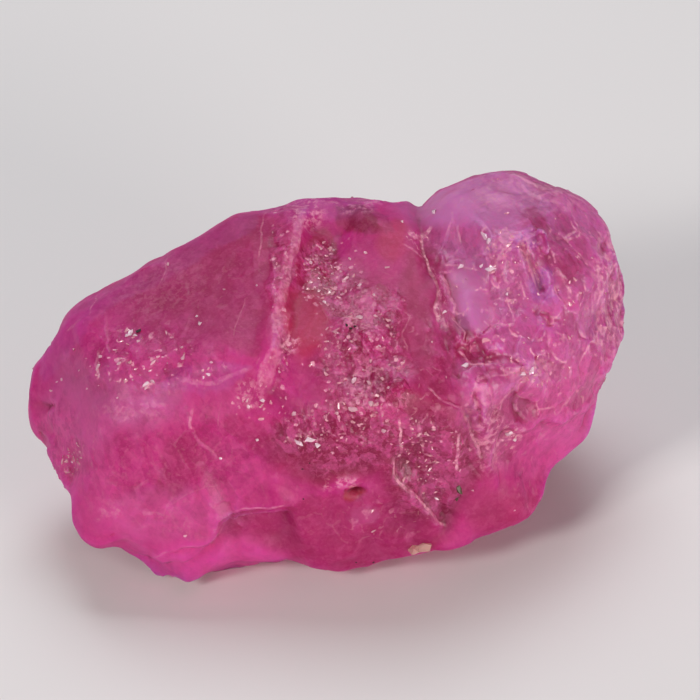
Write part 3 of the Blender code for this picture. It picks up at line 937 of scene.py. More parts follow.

# %% [markdown]
# ## Soft zones of colour
# The colour of a ruby isn't even: deep raspberry where it is clear and thick, with painted
# shade added in its hollows and recesses, a painted magenta glow where light would come
# through thin edges, milky lilac that also serves as painted sheen on the lobe's top, brick
# red in one patch, violet in the lobe, painted shadow in a few rough zones and hollows, and
# pale where crushed edges scatter the light. Painting a picture on it would need a map; a
# few soft zones, each stored as one number a point, say the same and stay true from every side.

# %% Colour zones
# for each paint: name, middle, half width and half height, and how strong it is there
PAINT_ZONES = {
    # deep red where the stone is thick, and painted shade in the hollows, the trough and the recess
    "deep": (
        ("face_top", (-2.6, 2.6), (2.6, 1.6), 0.7),
        ("recess", (-1.4, -3.6), (1.6, 0.55), 0.6),
        ("smooth_band", (2.2, 0.8), (0.7, 2.6), 0.8),
        ("foot", (1.2, -3.9), (1.6, 0.6), 0.6),
        ("lobe_hollow", (5.4, 2.8), (0.6, 0.6), 0.55),
        ("wedge", (2.3, -2.1), (1.15, 1.5), 1.0),
        ("centre", (0.9, 0.4), (1.3, 2.2), 0.6),
        ("cluster", (0.2, -1.5), (1.6, 0.8), 0.9),
        ("dark_hollow", (3.2, 0.7), (0.42, 0.36), 0.9),
        ("dark_hollow_low", (3.8, 0.2), (0.6, 0.3), 0.5),
        ("dark_face", (4.1, -1.3), (0.6, 0.7), 0.45),
        ("bottom", (0.6, -3.3), (1.8, 0.6), 0.5),
        ("lower_plane", (4.2, -3.1), (0.9, 0.6), 0.55),
        ("brick_patch", (-0.5, 1.4), (0.5, 0.9), 0.35),
    ),
    "edges": (
        ("lobe", (4.8, 1.6), (2.2, 2.6), 0.75),
        ("web", (3.6, -0.8), (0.6, 0.9), 0.55),
        ("belly", (-3.4, -2.2), (2.4, 1.4), 0.16),
        ("lower_right", (5.2, -2.0), (1.2, 1.6), 0.3),
        ("bottom", (1.0, -3.3), (1.7, 0.6), 0.18),
    ),
    # painted glow on the lip, the ends and the shelf, where light would shine through
    "glow": (
        ("lip", (-2.8, -4.25), (1.9, 0.55), 0.85),
        ("left_end", (-6.0, -2.0), (1.0, 1.6), 0.55),
        ("shelf", (-3.9, -3.4), (1.5, 0.6), 0.45),
        ("lower_right", (5.6, -1.2), (1.2, 1.2), 0.6),
        ("lobe_low", (4.7, 1.0), (1.4, 0.8), 0.2),
    ),
    "brick": (
        ("brick_patch", (-0.5, 1.4), (0.55, 0.95), 0.9),
        ("centre", (0.8, 0.6), (1.0, 1.8), 0.25),
        ("notch", (1.45, 3.3), (0.45, 0.4), 0.7),
        ("under_cluster", (-0.2, -2.0), (1.0, 0.3), 0.3),
    ),
    "milky": (
        ("lobe", (4.7, 1.9), (2.4, 2.9), 0.75),
        # painted sheen: the lobe's top made lighter, as light from above would make it
        ("lobe_top", (3.7, 4.0), (1.8, 0.8), 0.8),
        ("web", (3.6, -0.8), (0.7, 1.2), 0.55),
        ("veil", (-4.4, -0.6), (1.2, 0.6), 0.35),
        ("left_end", (-5.6, -0.6), (0.9, 1.1), 0.3),
        ("lower_right", (5.6, -0.6), (1.0, 1.2), 0.45),
        ("shelf", (-3.6, -3.2), (1.6, 0.6), 0.35),
    ),
    "violet": (
        # the faint lobe_top coat stands in for light from above on the lobe: painted sheen
        ("lobe_top", (4.0, 3.6), (1.8, 1.2), 0.06),
        ("violet_upper", (4.55, 3.2), (0.3, 0.3), 0.6),
        ("violet_lower", (5.1, 2.0), (0.28, 0.4), 0.6),
        ("rim", (-0.2, 4.1), (1.5, 0.3), 0.2),
    ),
    "grains": (
        ("trough", (-0.12, 2.45), (0.5, 0.8), 0.85),
        ("trough_right", (0.55, 2.6), (0.3, 0.6), 0.45),
        ("trough_foot", (0.0, 1.95), (0.5, 0.2), 0.95),
        ("strip", (-1.02, 1.9), (0.22, 2.3), 0.55),
        ("centre", (0.7, 0.6), (1.0, 1.6), 0.3),
        ("centre_low", (0.6, -0.6), (1.1, 0.7), 0.45),
        ("cluster", (-0.2, -1.35), (0.9, 0.4), 0.5),
        ("strip_foot", (-1.6, -0.55), (0.45, 0.3), 0.75),
        ("strip_low", (-1.3, 0.3), (0.28, 0.55), 0.55),
        ("wedge", (2.2, -1.9), (0.75, 1.2), 0.3),
        ("ridge_top", (-4.5, 1.05), (0.25, 0.15), 0.6),
        ("left_rim", (-5.95, -1.9), (0.22, 0.6), 0.4),
        ("lobe_chips", (4.2, 2.5), (0.5, 0.9), 0.4),
        ("lobe_low", (4.75, 0.2), (0.6, 0.3), 0.35),
        ("dark_face", (4.22, -1.32), (0.32, 0.3), 0.7),
    ),
    "flecks": (
        ("ridge", (-4.2, 0.4), (1.25, 0.8), 0.9),
        ("ridge_right", (-2.8, 0.1), (0.5, 0.4), 0.6),
        ("centre", (0.9, 0.6), (1.0, 1.8), 0.5),
        ("centre_low", (0.6, -0.9), (1.2, 0.6), 0.6),
        ("smooth_band", (2.1, 0.0), (0.6, 1.5), 0.35),
        ("lobe", (4.6, 1.5), (1.7, 2.2), 0.45),
        ("wedge", (2.2, -1.9), (0.7, 1.2), 0.3),
        ("bottom", (1.5, -3.3), (1.0, 0.5), 0.4),
        ("left_end", (-5.6, -1.6), (0.6, 0.8), 0.3),
        ("face", (-3.4, 2.0), (2.2, 1.2), 0.14),
        ("belly", (-3.6, -1.9), (2.2, 1.2), 0.12),
        ("shelf", (-3.2, -3.2), (1.3, 0.5), 0.28),
    ),
    "shadow": (
        ("wedge", (2.3, -2.1), (1.05, 1.4), 0.6),
        ("cluster", (0.2, -1.5), (1.5, 0.7), 0.48),
        ("centre", (0.9, 0.4), (1.1, 1.9), 0.12),
        ("face_middle", (-3.0, 1.6), (1.6, 0.7), 0.12),
    ),
    "frost": (
        ("top_rim", (0.8, 4.15), (1.7, 0.2), 0.5),
        ("web", (3.6, -1.2), (0.36, 1.0), 0.6),
        ("veil", (-4.5, -0.75), (0.8, 0.28), 0.35),
        ("lobe_top", (4.1, 4.4), (1.6, 0.45), 0.35),
        ("flaky_edge", (6.55, 2.0), (0.4, 1.6), 0.85),
        ("flaky_top", (5.55, 4.25), (0.8, 0.3), 0.4),
        ("shoulder", (-4.1, 2.2), (1.3, 0.8), 0.14),
        ("low_left", (-5.05, -3.15), (0.3, 0.22), 0.4),
        ("brow", (0.3, -2.38), (0.38, 0.16), 0.8),
        ("lobe_chips", (4.25, 2.9), (0.35, 0.45), 0.55),
        ("lobe_low_chips", (4.75, 0.2), (0.45, 0.28), 0.55),
        ("dark_face_chips", (4.25, -1.3), (0.34, 0.32), 0.65),
        ("centre_pit", (0.65, 1.45), (0.38, 0.38), 0.6),
        ("centre_low", (0.7, -0.3), (0.6, 0.55), 0.5),
        ("cluster", (-0.4, -1.45), (0.36, 0.16), 0.8),
        ("strip_blob", (-0.93, 0.77), (0.2, 0.26), 0.9),
        ("strip_top", (-0.45, 3.85), (0.35, 0.3), 0.7),
        ("strip_foot", (-1.75, -0.3), (0.3, 0.3), 0.6),
    ),
}
print("soft zones:", {paint: len(zones) for paint, zones in PAINT_ZONES.items()})

# %% [markdown]
# ## Planes of the broken skin
# A broken crystal also has flat planes with straight edges, each of one shade. An ellipse
# can't show those, so each plane is drawn by its corners, as with a pen tool, and every
# point of the skin asks whether it lies inside and how far it is from the outline.

# %% Planes, each drawn by its corners
# for each paint: name, corners, and how strong it is inside
PAINT_PLANES = {
    "shadow": (
        ("top_hollow", ((0.42, 3.97), (1.04, 4.0), (1.42, 3.71), (1.51, 3.4), (0.97, 3.28), (0.51, 3.5)),
         0.4),
        ("seam_foot", ((3.02, 1.63), (3.26, 1.4), (3.32, 1.15), (3.16, 0.91), (3.04, 0.8), (2.95, 1.22)),
         0.45),
    ),
    "rust": (
        ("red_pit", ((0.36, -2.76), (0.43, -2.57), (0.58, -2.5), (0.75, -2.56), (0.89, -2.67), (0.71, -2.76),
         (0.53, -2.82)), 1.0),
        ("trough", ((-0.66, 3.1), (-0.15, 3.49), (0.14, 3.36), (0.3, 2.45), (0.37, 2.0), (-0.15, 1.83),
         (-0.73, 2.02), (-0.76, 2.48)), 0.2),
    ),
    # painted glow on planes where light would shine through thin stone
    "glow": (
        ("shelf_plane", ((-4.74, -3.81), (-4.2, -3.4), (-3.62, -2.9), (-3.04, -2.61), (-2.55, -2.44),
         (-2.18, -2.16), (-1.97, -1.91), (-1.56, -1.82), (-1.47, -2.2), (-1.97, -2.78), (-2.3, -3.15),
         (-2.55, -3.35), (-2.71, -3.68), (-3.29, -3.89), (-3.87, -4.1), (-4.45, -4.02)), 0.55),
        ("low_left_plane", ((-5.15, -2.94), (-4.76, -3.06), (-4.71, -3.35), (-5.15, -3.48), (-5.36, -3.27)),
         0.25),
        ("right_of_recess", ((-1.64, -1.82), (-0.98, -2.11), (-0.56, -2.78), (-0.81, -2.9), (-1.22, -2.69),
         (-1.47, -2.2)), 0.3),
        ("lobe_low", ((5.15, 1.1), (6.02, 1.1), (6.33, 0.6), (6.82, 0.48), (6.26, -0.02), (5.4, -0.39),
         (5.02, -0.08), (4.96, 0.36)), 0.35),
    ),
    "milky": (
        ("veil", ((-4.9, -0.87), (-4.53, -0.54), (-4.04, -0.34), (-3.62, -0.21), (-3.7, -0.54),
         (-4.12, -0.79), (-4.53, -0.96), (-4.86, -1.0)), 0.45),
        ("strip", ((-0.62, 4.0), (-0.45, 4.0), (-0.72, 3.1), (-0.9, 2.05), (-1.02, 1.2), (-1.12, 0.7),
         (-1.38, 0.7), (-1.27, 1.2), (-1.1, 2.05), (-0.9, 3.1)), 0.4),
        ("lens", ((0.53, -3.03), (0.79, -2.95), (1.13, -2.99), (1.26, -3.16), (1.09, -3.37), (0.71, -3.41),
         (0.49, -3.24)), 0.28),
        ("facet_plane", ((2.67, 2.62), (3.16, 2.5), (3.53, 2.25), (3.75, 1.97), (3.78, 1.6), (3.75, 1.22),
         (3.53, 0.98), (3.47, 0.73), (3.32, 1.1), (3.1, 1.01), (2.88, 0.79), (3.01, 1.04), (3.22, 1.35),
         (3.13, 1.6), (3.07, 1.78), (2.82, 1.97), (2.79, 2.22), (2.6, 2.59)), 0.48),
        ("rim_flake", ((6.45, 2.4), (6.57, 2.59), (6.64, 2.34), (6.67, 1.53), (6.42, 1.84)), 0.6),
        ("web_plane", ((3.53, -0.08), (3.84, 0.23), (4.34, 0.42), (4.9, 0.36), (4.9, 0.11), (4.47, -0.08),
         (4.03, -0.26), (3.53, -0.51)), 0.6),
    ),
    # deep red, and painted shade in the hollows, the recess, the trough and the seam's foot
    "deep": (
        ("recess_plane", ((-2.3, -3.15), (-1.64, -3.06), (-0.98, -3.06), (-0.65, -2.86), (-0.4, -2.61),
         (0.1, -2.78), (0.47, -2.86), (0.47, -4.02), (-0.32, -4.18), (-0.81, -4.18), (-1.22, -4.02),
         (-1.64, -3.6), (-2.05, -3.52), (-2.55, -3.56)), 0.55),
        ("belly_band", ((-3.79, -1.45), (-3.29, -1.29), (-2.96, -1.53), (-3.04, -2.2), (-3.46, -2.69),
         (-4.12, -3.19), (-4.45, -3.44), (-4.61, -3.35), (-4.2, -2.78), (-3.87, -2.28)), 0.4),
        ("belly_right", ((-2.3, -0.79), (-1.47, -1.04), (-1.14, -1.45), (-1.64, -1.7), (-2.05, -1.37),
         (-2.47, -1.12)), 0.45),
        ("hollow_plane", ((2.91, 0.79), (3.32, 1.07), (3.53, 0.79), (3.78, 0.7), (4.06, 0.51), (3.78, 0.36),
         (3.47, 0.29), (3.16, 0.45), (2.95, 0.48)), 0.95),
        ("seam_foot", ((2.79, 1.63), (3.01, 1.41), (3.07, 1.19), (2.91, 0.95), (2.79, 0.85), (2.7, 1.22)),
         0.75),
        ("lobe_upper", ((4.47, 3.89), (4.78, 3.98), (5.02, 3.77), (5.15, 3.46), (4.96, 3.21), (4.71, 3.27),
         (4.5, 3.46)), 0.6),
        ("lobe_middle", ((5.02, 2.59), (5.4, 2.71), (5.64, 2.59), (5.71, 2.28), (5.4, 2.16), (5.02, 2.22)),
         0.6),
        ("lobe_right", ((5.21, 3.89), (5.64, 3.71), (6.02, 3.27), (5.89, 2.96), (5.52, 3.21), (5.27, 3.46)),
         0.45),
        ("dark_face", ((3.91, -0.51), (4.4, -0.26), (4.84, -0.2), (4.96, -0.39), (4.9, -0.98), (3.84, -0.98)),
         0.5),
        ("top_hollow", ((0.14, 4.02), (0.76, 4.06), (1.14, 3.76), (1.24, 3.44), (0.82, 3.31), (0.43, 3.38),
         (0.21, 3.57)), 1.0),
        ("trough", ((-0.66, 3.05), (-0.15, 3.44), (0.14, 3.31), (0.3, 2.47), (0.37, 2.02), (-0.15, 1.83),
         (-0.73, 2.02), (-0.76, 2.47)), 0.95),
        ("band_plane", ((1.6, 1.5), (1.92, 1.63), (2.37, 1.5), (2.7, 0.99), (2.63, 0.47), (2.11, 0.34),
         (1.73, 0.6)), 0.8),
        ("face_ground", ((-4.67, 1.4), (-3.84, 1.63), (-3.01, 1.51), (-2.29, 1.75), (-1.58, 1.81),
         (-1.58, 0.44), (-2.41, 0.8), (-2.77, 1.04), (-3.6, 1.28), (-4.32, 1.1), (-4.55, 1.22)), 0.45),
    ),
    "violet": (
        ("face_rim", ((-6.75, 0.44), (-6.16, 1.4), (-5.86, 1.69), (-4.26, 2.55), (-2.77, 3.48), (-1.58, 4.01),
         (-1.58, 3.42), (-2.53, 3.06), (-3.6, 2.35), (-4.67, 1.81), (-5.5, 1.28), (-6.04, 0.44),
         (-6.57, -0.15)), 0.12),
        ("face_low", ((-3.6, 0.21), (-2.77, 0.44), (-1.76, 0.33), (-2.18, -0.15), (-3.01, -0.39),
         (-3.36, -0.33), (-3.84, -0.15)), 0.18),
    ),
}
PLANE_EDGE = 0.05


def plane_weight(places, corners):
    """1 inside the outline that the corners draw, 0 outside it, with an edge PLANE_EDGE mm wide."""
    ring = np.array(corners)
    inside = np.zeros(len(places), bool)
    gap = np.full(len(places), np.inf)
    for start, end in zip(ring, np.roll(ring, -1, axis=0)):
        along = end - start
        share = np.clip((places - start) @ along / (along @ along), 0, 1)
        gap = np.minimum(gap, lengths(places - start - share[:, None] * along)[:, 0])
        crossed = (start[1] > places[:, 1]) != (end[1] > places[:, 1])
        rise = along[1] if along[1] else 1.0
        inside ^= crossed & (places[:, 0] < start[0] + (places[:, 1] - start[1]) / rise * along[0])
    return ease(np.where(inside, gap, -gap) / PLANE_EDGE + 0.5)


def planes_together(places, planes):
    found = np.zeros(len(places))
    for _name, corners, amount in planes:
        found = np.maximum(found, amount * plane_weight(places, corners))
    return found


print("planes:", {paint: len(planes) for paint, planes in PAINT_PLANES.items()})

# %% [markdown]
# ## Veins
# Hairline cracks let air in and shine pale. Each is a path with its own width, and the skin
# keeps three numbers for the nearest one: how far away it is, counted in half widths and
# with a side, how close it is at all, and how pale. The material turns them into a line
# that is finer than the mesh, which a value painted straight on the points couldn't be.

# %% Veins, each drawn as a line of its own width
# name, path, half width in mm, how pale
VEINS = (
    ("strip", RIDGE_LINE[::-1], 0.105, 0.52),
    ("strip_foot", ((-0.95, 1.6), (-1.05, 1.12), (-1.12, 0.65), (-1.3, 0.14), (-1.5, -0.3)), 0.14, 0.36),
    ("seam_fork", ((1.91, 3.4), (2.09, 3.19), (2.28, 3.3), (2.4, 3.49)), 0.05, 0.95),
    ("seam", ((2.12, 3.3), (2.23, 3.05), (2.33, 2.7), (2.44, 2.35), (2.53, 2.05), (2.51, 1.74), (2.47, 1.53),
     (2.53, 1.21)), 0.038, 0.95),
    ("seam_twin", ((2.63, 2.0), (2.6, 1.7), (2.63, 1.44), (2.74, 1.12)), 0.03, 0.45),
    ("facet_edge", FACET_LINE, 0.028, 0.6),
    ("hollow_edge", ((3.0, 0.7), (3.35, 0.3), (3.85, 0.35)), 0.03, 0.7),
    ("web_left", ((2.3, -0.19), (2.63, -0.51), (3.02, -0.65), (3.19, -0.63), (3.37, -0.19)), 0.032, 0.55),
    ("web_stem", ((3.02, -0.65), (3.19, -1.02), (3.37, -1.51), (3.51, -2.0)), 0.035, 0.6),
    ("wedge_line", WEDGE_LINE[::-1], 0.036, 0.9),
    ("wedge_right", ((2.98, -1.26), (2.98, -1.67), (3.0, -2.14)), 0.035, 0.8),
    ("wedge_left", ((1.6, -0.88), (1.65, -1.33), (1.65, -1.72)), 0.032, 0.9),
    ("wedge_mid", ((2.05, -0.98), (2.07, -1.37), (2.12, -1.77)), 0.026, 0.7),
    ("face_hair", ((-1.37, 3.91), (-1.51, 3.28), (-1.63, 2.72)), 0.022, 0.45),
    ("face_scratch", ((-3.67, 2.86), (-3.93, 2.14)), 0.018, 0.5),
    ("shoulder_hair", ((-5.34, 1.97), (-5.51, 1.42)), 0.018, 0.45),
    ("rim_dash", ((-5.72, 1.38), (-6.06, 1.08)), 0.024, 0.5),
    ("face_hair_low", ((-1.86, 1.91), (-1.91, 1.72), (-1.98, 1.42), (-2.14, 0.95)), 0.018, 0.35),
    ("veil_line", ((-3.47, -0.05), (-2.86, -0.14), (-2.37, 0.0), (-1.74, 0.3)), 0.06, 0.4),
    ("ridge_curl", ((-5.26, 0.63), (-5.33, 0.28), (-5.33, -0.09)), 0.03, 0.9),
    ("ridge_curl_mid", ((-4.79, 0.44), (-4.86, 0.19)), 0.026, 0.85),
    ("ridge_curl_right", ((-3.88, 0.53), (-4.07, 0.28)), 0.026, 0.8),
    ("ridge_dash", ((-4.21, -0.19), (-3.93, -0.05)), 0.03, 0.95),
    ("belly_mark", ((-3.14, -0.7), (-3.14, -1.19)), 0.035, 0.5),
    ("belly_hair", ((-2.44, -0.51), (-2.53, -1.09)), 0.018, 0.4),
    ("crack_left", ((4.38, 3.21), (4.5, 2.86), (4.75, 2.23), (4.84, 1.95)), 0.028, 0.65),
    ("crack_right", ((4.55, 3.05), (4.7, 2.75), (4.95, 2.25)), 0.022, 0.55),
    ("lobe_light", ((5.37, 2.47), (5.49, 2.19), (5.6, 1.91)), 0.028, 0.8),
    ("lobe_dash", ((2.86, 2.85), (2.98, 2.99)), 0.022, 0.8),
    ("flake_top", ((4.12, 4.79), (4.47, 4.7), (4.81, 4.53), (5.16, 4.47), (5.53, 4.35), (5.86, 4.23)), 0.035,
     0.7),
    ("shelf_edge", ((-2.2, -3.06), (-1.6, -3.02), (-0.95, -2.98)), 0.026, 0.45),
    ("shelf_side", ((-2.36, -3.25), (-2.45, -3.55), (-2.62, -3.66)), 0.02, 0.3),
    ("shelf_rise", ((-4.1, -3.46), (-3.62, -2.9), (-3.04, -2.61), (-2.55, -2.44)), 0.016, 0.22),
    ("lip_edge", ((-4.12, -4.14), (-3.29, -3.93), (-2.55, -3.77)), 0.018, 0.28),
    ("lobe_curl", ((5.65, 3.02), (6.02, 2.71), (6.3, 2.4)), 0.024, 0.45),
    ("lobe_low_line", ((4.9, 0.95), (5.3, 1.02), (5.75, 0.8)), 0.02, 0.4),
    ("lobe_left_line", ((2.72, 3.35), (2.84, 3.72), (2.88, 3.95)), 0.022, 0.45),
    ("flake_right", ((6.35, 2.95), (6.25, 2.45), (6.3, 1.9), (6.5, 1.45)), 0.035, 0.6),
    ("lobe_grain", ((3.35, 4.11), (4.16, 4.33)), 0.02, 0.45),
    ("lobe_grain_low", ((3.53, 4.02), (4.0, 4.18), (4.4, 4.26)), 0.018, 0.5),
    ("lobe_grain_foot", ((3.72, 3.92), (4.59, 4.14)), 0.018, 0.4),
    ("lobe_grain_top", ((3.47, 4.33), (3.91, 4.48)), 0.018, 0.35),
    ("flake_top_low", ((4.59, 4.64), (5.02, 4.39), (5.52, 4.33)), 0.024, 0.55),
    ("rim_right", ((5.95, 4.26), (6.39, 3.77), (6.63, 3.21)), 0.03, 0.5),
    ("facet_top", ((2.67, 2.62), (3.16, 2.52), (3.72, 2.44)), 0.022, 0.55),
    ("web_top", ((3.38, -0.08), (4.16, 0.11), (4.9, 0.36)), 0.03, 0.5),
    ("web_line", ((3.88, -0.67), (4.34, -0.2), (4.71, 0.11)), 0.02, 0.45),
    ("notch_line", ((1.76, 3.05), (2.0, 2.92), (2.24, 2.73)), 0.022, 0.5),
    ("band_hair", ((1.47, 1.76), (1.92, 1.44), (1.73, 0.99), (1.79, 0.6)), 0.02, 0.4),
)
VEIN_REACH = 0.30


def vein_values(points, normals):
    """For the nearest vein: signed distance over its half width, closeness, and paleness."""
    places = wandered(points)
    nearest = np.full(len(points), VEIN_REACH)
    signed, pale = np.full(len(points), VEIN_REACH), np.zeros(len(points))
    for _name, path, half, paleness in VEINS:
        gap, side, share = along_path(places, path)
        reduced = np.maximum(gap - half, 0)
        nearer = reduced < nearest
        nearest[nearer] = reduced[nearer]
        signed[nearer] = (side * gap / half)[nearer]
        pale[nearer] = (paleness * fading_ends(share))[nearer]
    close = 1 - nearest / VEIN_REACH
    return np.stack([signed, close, pale * facing_out(normals)], axis=1)


points, normals = mesh_points(skin.data), mesh_normals(skin.data)
keep_values(skin.data, "vein", vein_values(points, normals))
print("veins:", len(VEINS), " the longest has", max(len(path) for _name, path, *_rest in VEINS), "corners")

# %% [markdown]
# ## Storing what each place looks like
# Soft zones are read with a frayed edge and planes with a crisp one, and the stronger of
# the two counts. Sharp edges wear pale and creases get painted shade, so the bend of the
# skin is measured too: how far the normals at the two ends of an edge turn apart.

# %% Paints and bends kept with the skin
def bend_values(mesh, points, normals):
    """How strongly the skin bends at each point, per mm: above 0 on an edge, below 0 in a crease."""
    edges = mesh_edges(mesh)
    first, second = edges
    across = points[second] - points[first]
    bend = ((normals[second] - normals[first]) * across).sum(axis=1) / (across**2).sum(axis=1)
    found = met_mean(edges, len(points), bend, bend)
    return 0.5 * found + 0.5 * neighbour_mean(found, edges)


places = frayed_places(points)
outward = facing_out(normals)
drawn = wandered(points)
for paint in sorted(PAINT_ZONES | PAINT_PLANES):
    soft = zones_together(places, PAINT_ZONES.get(paint, ()))
    crisp = planes_together(drawn, PAINT_PLANES.get(paint, ()))
    keep_values(skin.data, paint, outward * np.maximum(soft, crisp))
bends = bend_values(skin.data, points, normals)
keep_values(skin.data, "bend", bends)
print("bends, in 1/mm:", np.round(np.percentile(bends, (1, 10, 50, 90, 99)), 2))

# %% [markdown]
# ## Splinters
# Crushed edges carry loose-looking splinters a tenth of a millimetre long, which flash when
# one of their faces meets the light. One small ball with its corners pulled about is enough
# of a splinter; the tree scatters it over the broken skin, each time with another size,
# stretch and turn, half sunk. Most stay small, as crushed stone has more dust than chips.

# %% The tree that scatters splinters
RANDOM, IN_SPACE = "FunctionNodeRandomValue", {"data_type": "FLOAT_VECTOR"}
SPLINTER_PULL = 0.45
SPLINTER_STRETCH = ((0.7, 0.5, 0.25), (1.5, 1.0, 0.6))
SPLINTER_TIP = 0.8
FULL_TURN = 6.28
MOSTLY_SMALL = 2.2
SPLINTER_INPUTS = (
    ("Per Square Metre", "Float", 60e6),
    ("Smallest", "Float", 0.020 * MM),
    ("Largest", "Float", 0.070 * MM),
    ("Seed", "Int", 4),
)


def splinter_tree():
    tree, given = new_tree("scattered_splinters", SPLINTER_INPUTS)
    thickly = add_node(tree, "GeometryNodeInputNamedAttribute", {"Name": "chips"}, data_type="FLOAT")
    factors = {0: thickly.outputs["Attribute"], 1: given.outputs["Per Square Metre"]}
    density = add_node(tree, MATH, factors, operation="MULTIPLY")
    strew = {"Mesh": given.outputs["Mesh"], "Density": density, "Seed": given.outputs["Seed"]}
    spots = add_node(tree, "GeometryNodeDistributePointsOnFaces", strew)
    ball = add_node(tree, "GeometryNodeMeshIcoSphere", {"Radius": 1.0, "Subdivisions": 1})
    pull = add_node(tree, RANDOM, {0: (-SPLINTER_PULL,) * 3, 1: (SPLINTER_PULL,) * 3, "Seed": 2}, **IN_SPACE)
    splinter = add_node(tree, "GeometryNodeSetPosition", {"Geometry": ball, "Offset": pull})
    least, most = SPLINTER_STRETCH
    stretch = add_node(tree, RANDOM, {0: least, 1: most, "Seed": given.outputs["Seed"]}, **IN_SPACE)
    chance = add_node(tree, RANDOM, {2: 0.0, 3: 1.0, "Seed": 8}, data_type="FLOAT").outputs[1]
    small = add_node(tree, MATH, {0: chance, 1: MOSTLY_SMALL}, operation="POWER")
    size = add_node(tree, RANGE, {0: small, 3: given.outputs["Smallest"], 4: given.outputs["Largest"]})
    scale = add_node(tree, VECTOR, {0: stretch, "Scale": size}, operation="SCALE")
    least, most = (-SPLINTER_TIP, -SPLINTER_TIP, 0), (SPLINTER_TIP, SPLINTER_TIP, FULL_TURN)
    lean = add_node(tree, RANDOM, {0: least, 1: most, "Seed": 5}, **IN_SPACE)
    turns = {"Rotation": spots.outputs["Rotation"], "Rotate By": lean}
    turn = add_node(tree, "FunctionNodeRotateRotation", turns, rotation_space="LOCAL")
    place = {"Points": spots, "Instance": splinter, "Rotation": turn, "Scale": scale}
    end_tree(tree, given, add_node(tree, "GeometryNodeInstanceOnPoints", place))
    return tree


SPLINTER_TREE = splinter_tree()
print("splinter tree:", len(SPLINTER_TREE.nodes), "nodes")

# %% [markdown]
# ## Where the splinters lie
# They lie thickest where the stone was struck. The zones say where on the broad face, and
# the broken patches of the back get a few of their own. The tree runs on a copy of the
# skin, and only its splinters are kept.

# %% Splinters
def grain_material(name, base, rough, clear, index):
    # Corundum, quartz and dark mineral grains: crushed and broken, never polished.
    material, tree = new_material(name)
    look = {"Base Color": colour(base), "Roughness": rough, "IOR": index, "Transmission Weight": clear}
    shader = add_node(tree, "ShaderNodeBsdfPrincipled", look)
    add_node(tree, "ShaderNodeOutputMaterial", {"Surface": shader})
    return material


# name, middle, half width and half height, how thickly strewn
CHIP_ZONES = (
    ("cluster", (-0.42, -1.42), (0.4, 0.16), 1.0),
    ("trough", (-0.12, 2.45), (0.45, 0.75), 0.5),
    ("centre", (0.7, 0.4), (0.9, 1.6), 0.2),
    ("centre_low", (0.6, -0.6), (0.8, 0.5), 0.35),
    ("ridge", (-4.2, 0.4), (1.4, 0.6), 0.12),
    ("ridge_top", (-4.5, 1.05), (0.2, 0.12), 1.0),
    ("strip_foot", (-1.6, -0.45), (0.3, 0.25), 0.35),
    ("wedge", (2.2, -1.7), (0.6, 0.9), 0.3),
    ("dark_face", (4.22, -1.32), (0.3, 0.28), 0.7),
    ("lobe_chips", (4.2, 2.8), (0.4, 0.6), 0.3),
    ("lobe_low", (4.75, 0.2), (0.5, 0.28), 0.35),
    ("lobe", (4.6, 1.8), (2.0, 2.4), 0.06),
    ("left_rim", (-5.95, -1.9), (0.16, 0.5), 0.5),
    ("centre_pit", (0.6, 1.35), (0.3, 0.3), 0.6),
)
BACK_STREWN = 0.10
chips = new_object("ruby_splinters", skin.data.copy())
chips.data.name = chips.name
facing = ease((normals @ ARROWS[2] - 0.25) / 0.3)
crushed_back = (1 - outward) * BACK_STREWN * ease((broken_amount(points, normals) - 0.5) / 0.3)
keep_values(chips.data, "chips", np.maximum(facing * zones_together(places, CHIP_ZONES), crushed_back))
settings = {name.replace(" ", "_").lower(): value for name, _kind, value in SPLINTER_INPUTS}
crushed = grain_material("crushed_corundum", "#F0A8B8", 0.20, 0.3, RUBY_IOR)
use_tree(chips, SPLINTER_TREE, material=crushed, **settings)
finished_mesh(chips)
print("splinters:", len(chips.data.polygons) // 20)

# %% [markdown]
# ## Glints and specks
# A few chips are large enough to be told apart, and a few grains are another mineral. They
# are placed one by one: a ray sent through the paper finds the skin below a mark, and a
# small ball is pressed flat, turned and roughened there.

# %% A chip at a mark
SURFACE = BVHTree.FromPolygons(
    [vertex.co / MM for vertex in skin.data.vertices], [face.vertices[:] for face in skin.data.polygons]
)
RAY_START = 9.0
CHIP_ROUGH, ROUGH_WAVES = 0.44, 2.3
TIP_WAVES = (3.1, 4.7)


def on_skin(u, v):
    """The place on the skin under (u, v) on the paper, in mm, and which way it faces."""
    hit, normal, _face, _far = SURFACE.ray_cast(Vector(in_room((u, v, RAY_START))), -Vector(ARROWS[2]))
    return hit, normal


def chips_here(name, chips, grow, material):
    """One piece from chips (u, v, length, width, thickness, turn), each half sunk in the skin."""
    form = bmesh.new()
    for number, (u, v, *sides, turn) in enumerate(chips):
        hit, normal = on_skin(u, v)
        length, width, thick = (side * grow for side in sides)
        mark = Vector((u, v, number))
        tips = noise.noise(mark * TIP_WAVES[0]), noise.noise(mark * TIP_WAVES[1] + Vector((9, 0, 0)))
        stand = (normal + Vector((*tips, 0)) @ Matrix(ARROWS.tolist())).to_track_quat("Z", "Y").to_matrix()
        stand = stand @ Matrix.Rotation(math.radians(turn), 3, "Z")
        for vertex in bmesh.ops.create_icosphere(form, subdivisions=1, radius=0.5)["verts"]:
            where = vertex.co * ROUGH_WAVES + mark
            pull = Vector([noise.noise(where + Vector((7.0 * axis, 0, 0))) for axis in range(3)])
            place = vertex.co + CHIP_ROUGH * pull
            place = Vector((place.x * length, place.y * width, place.z * thick))
            vertex.co = (hit + stand @ place) * MM
    mesh = bpy.data.meshes.new(name)
    bmesh.ops.recalc_face_normals(form, faces=form.faces)
    form.to_mesh(mesh)
    form.free()
    mesh.materials.append(material)
    return new_object(name, mesh)


print("the skin above the paper's middle:", [round(side, 2) for side in on_skin(0.0, 0.0)[0]])
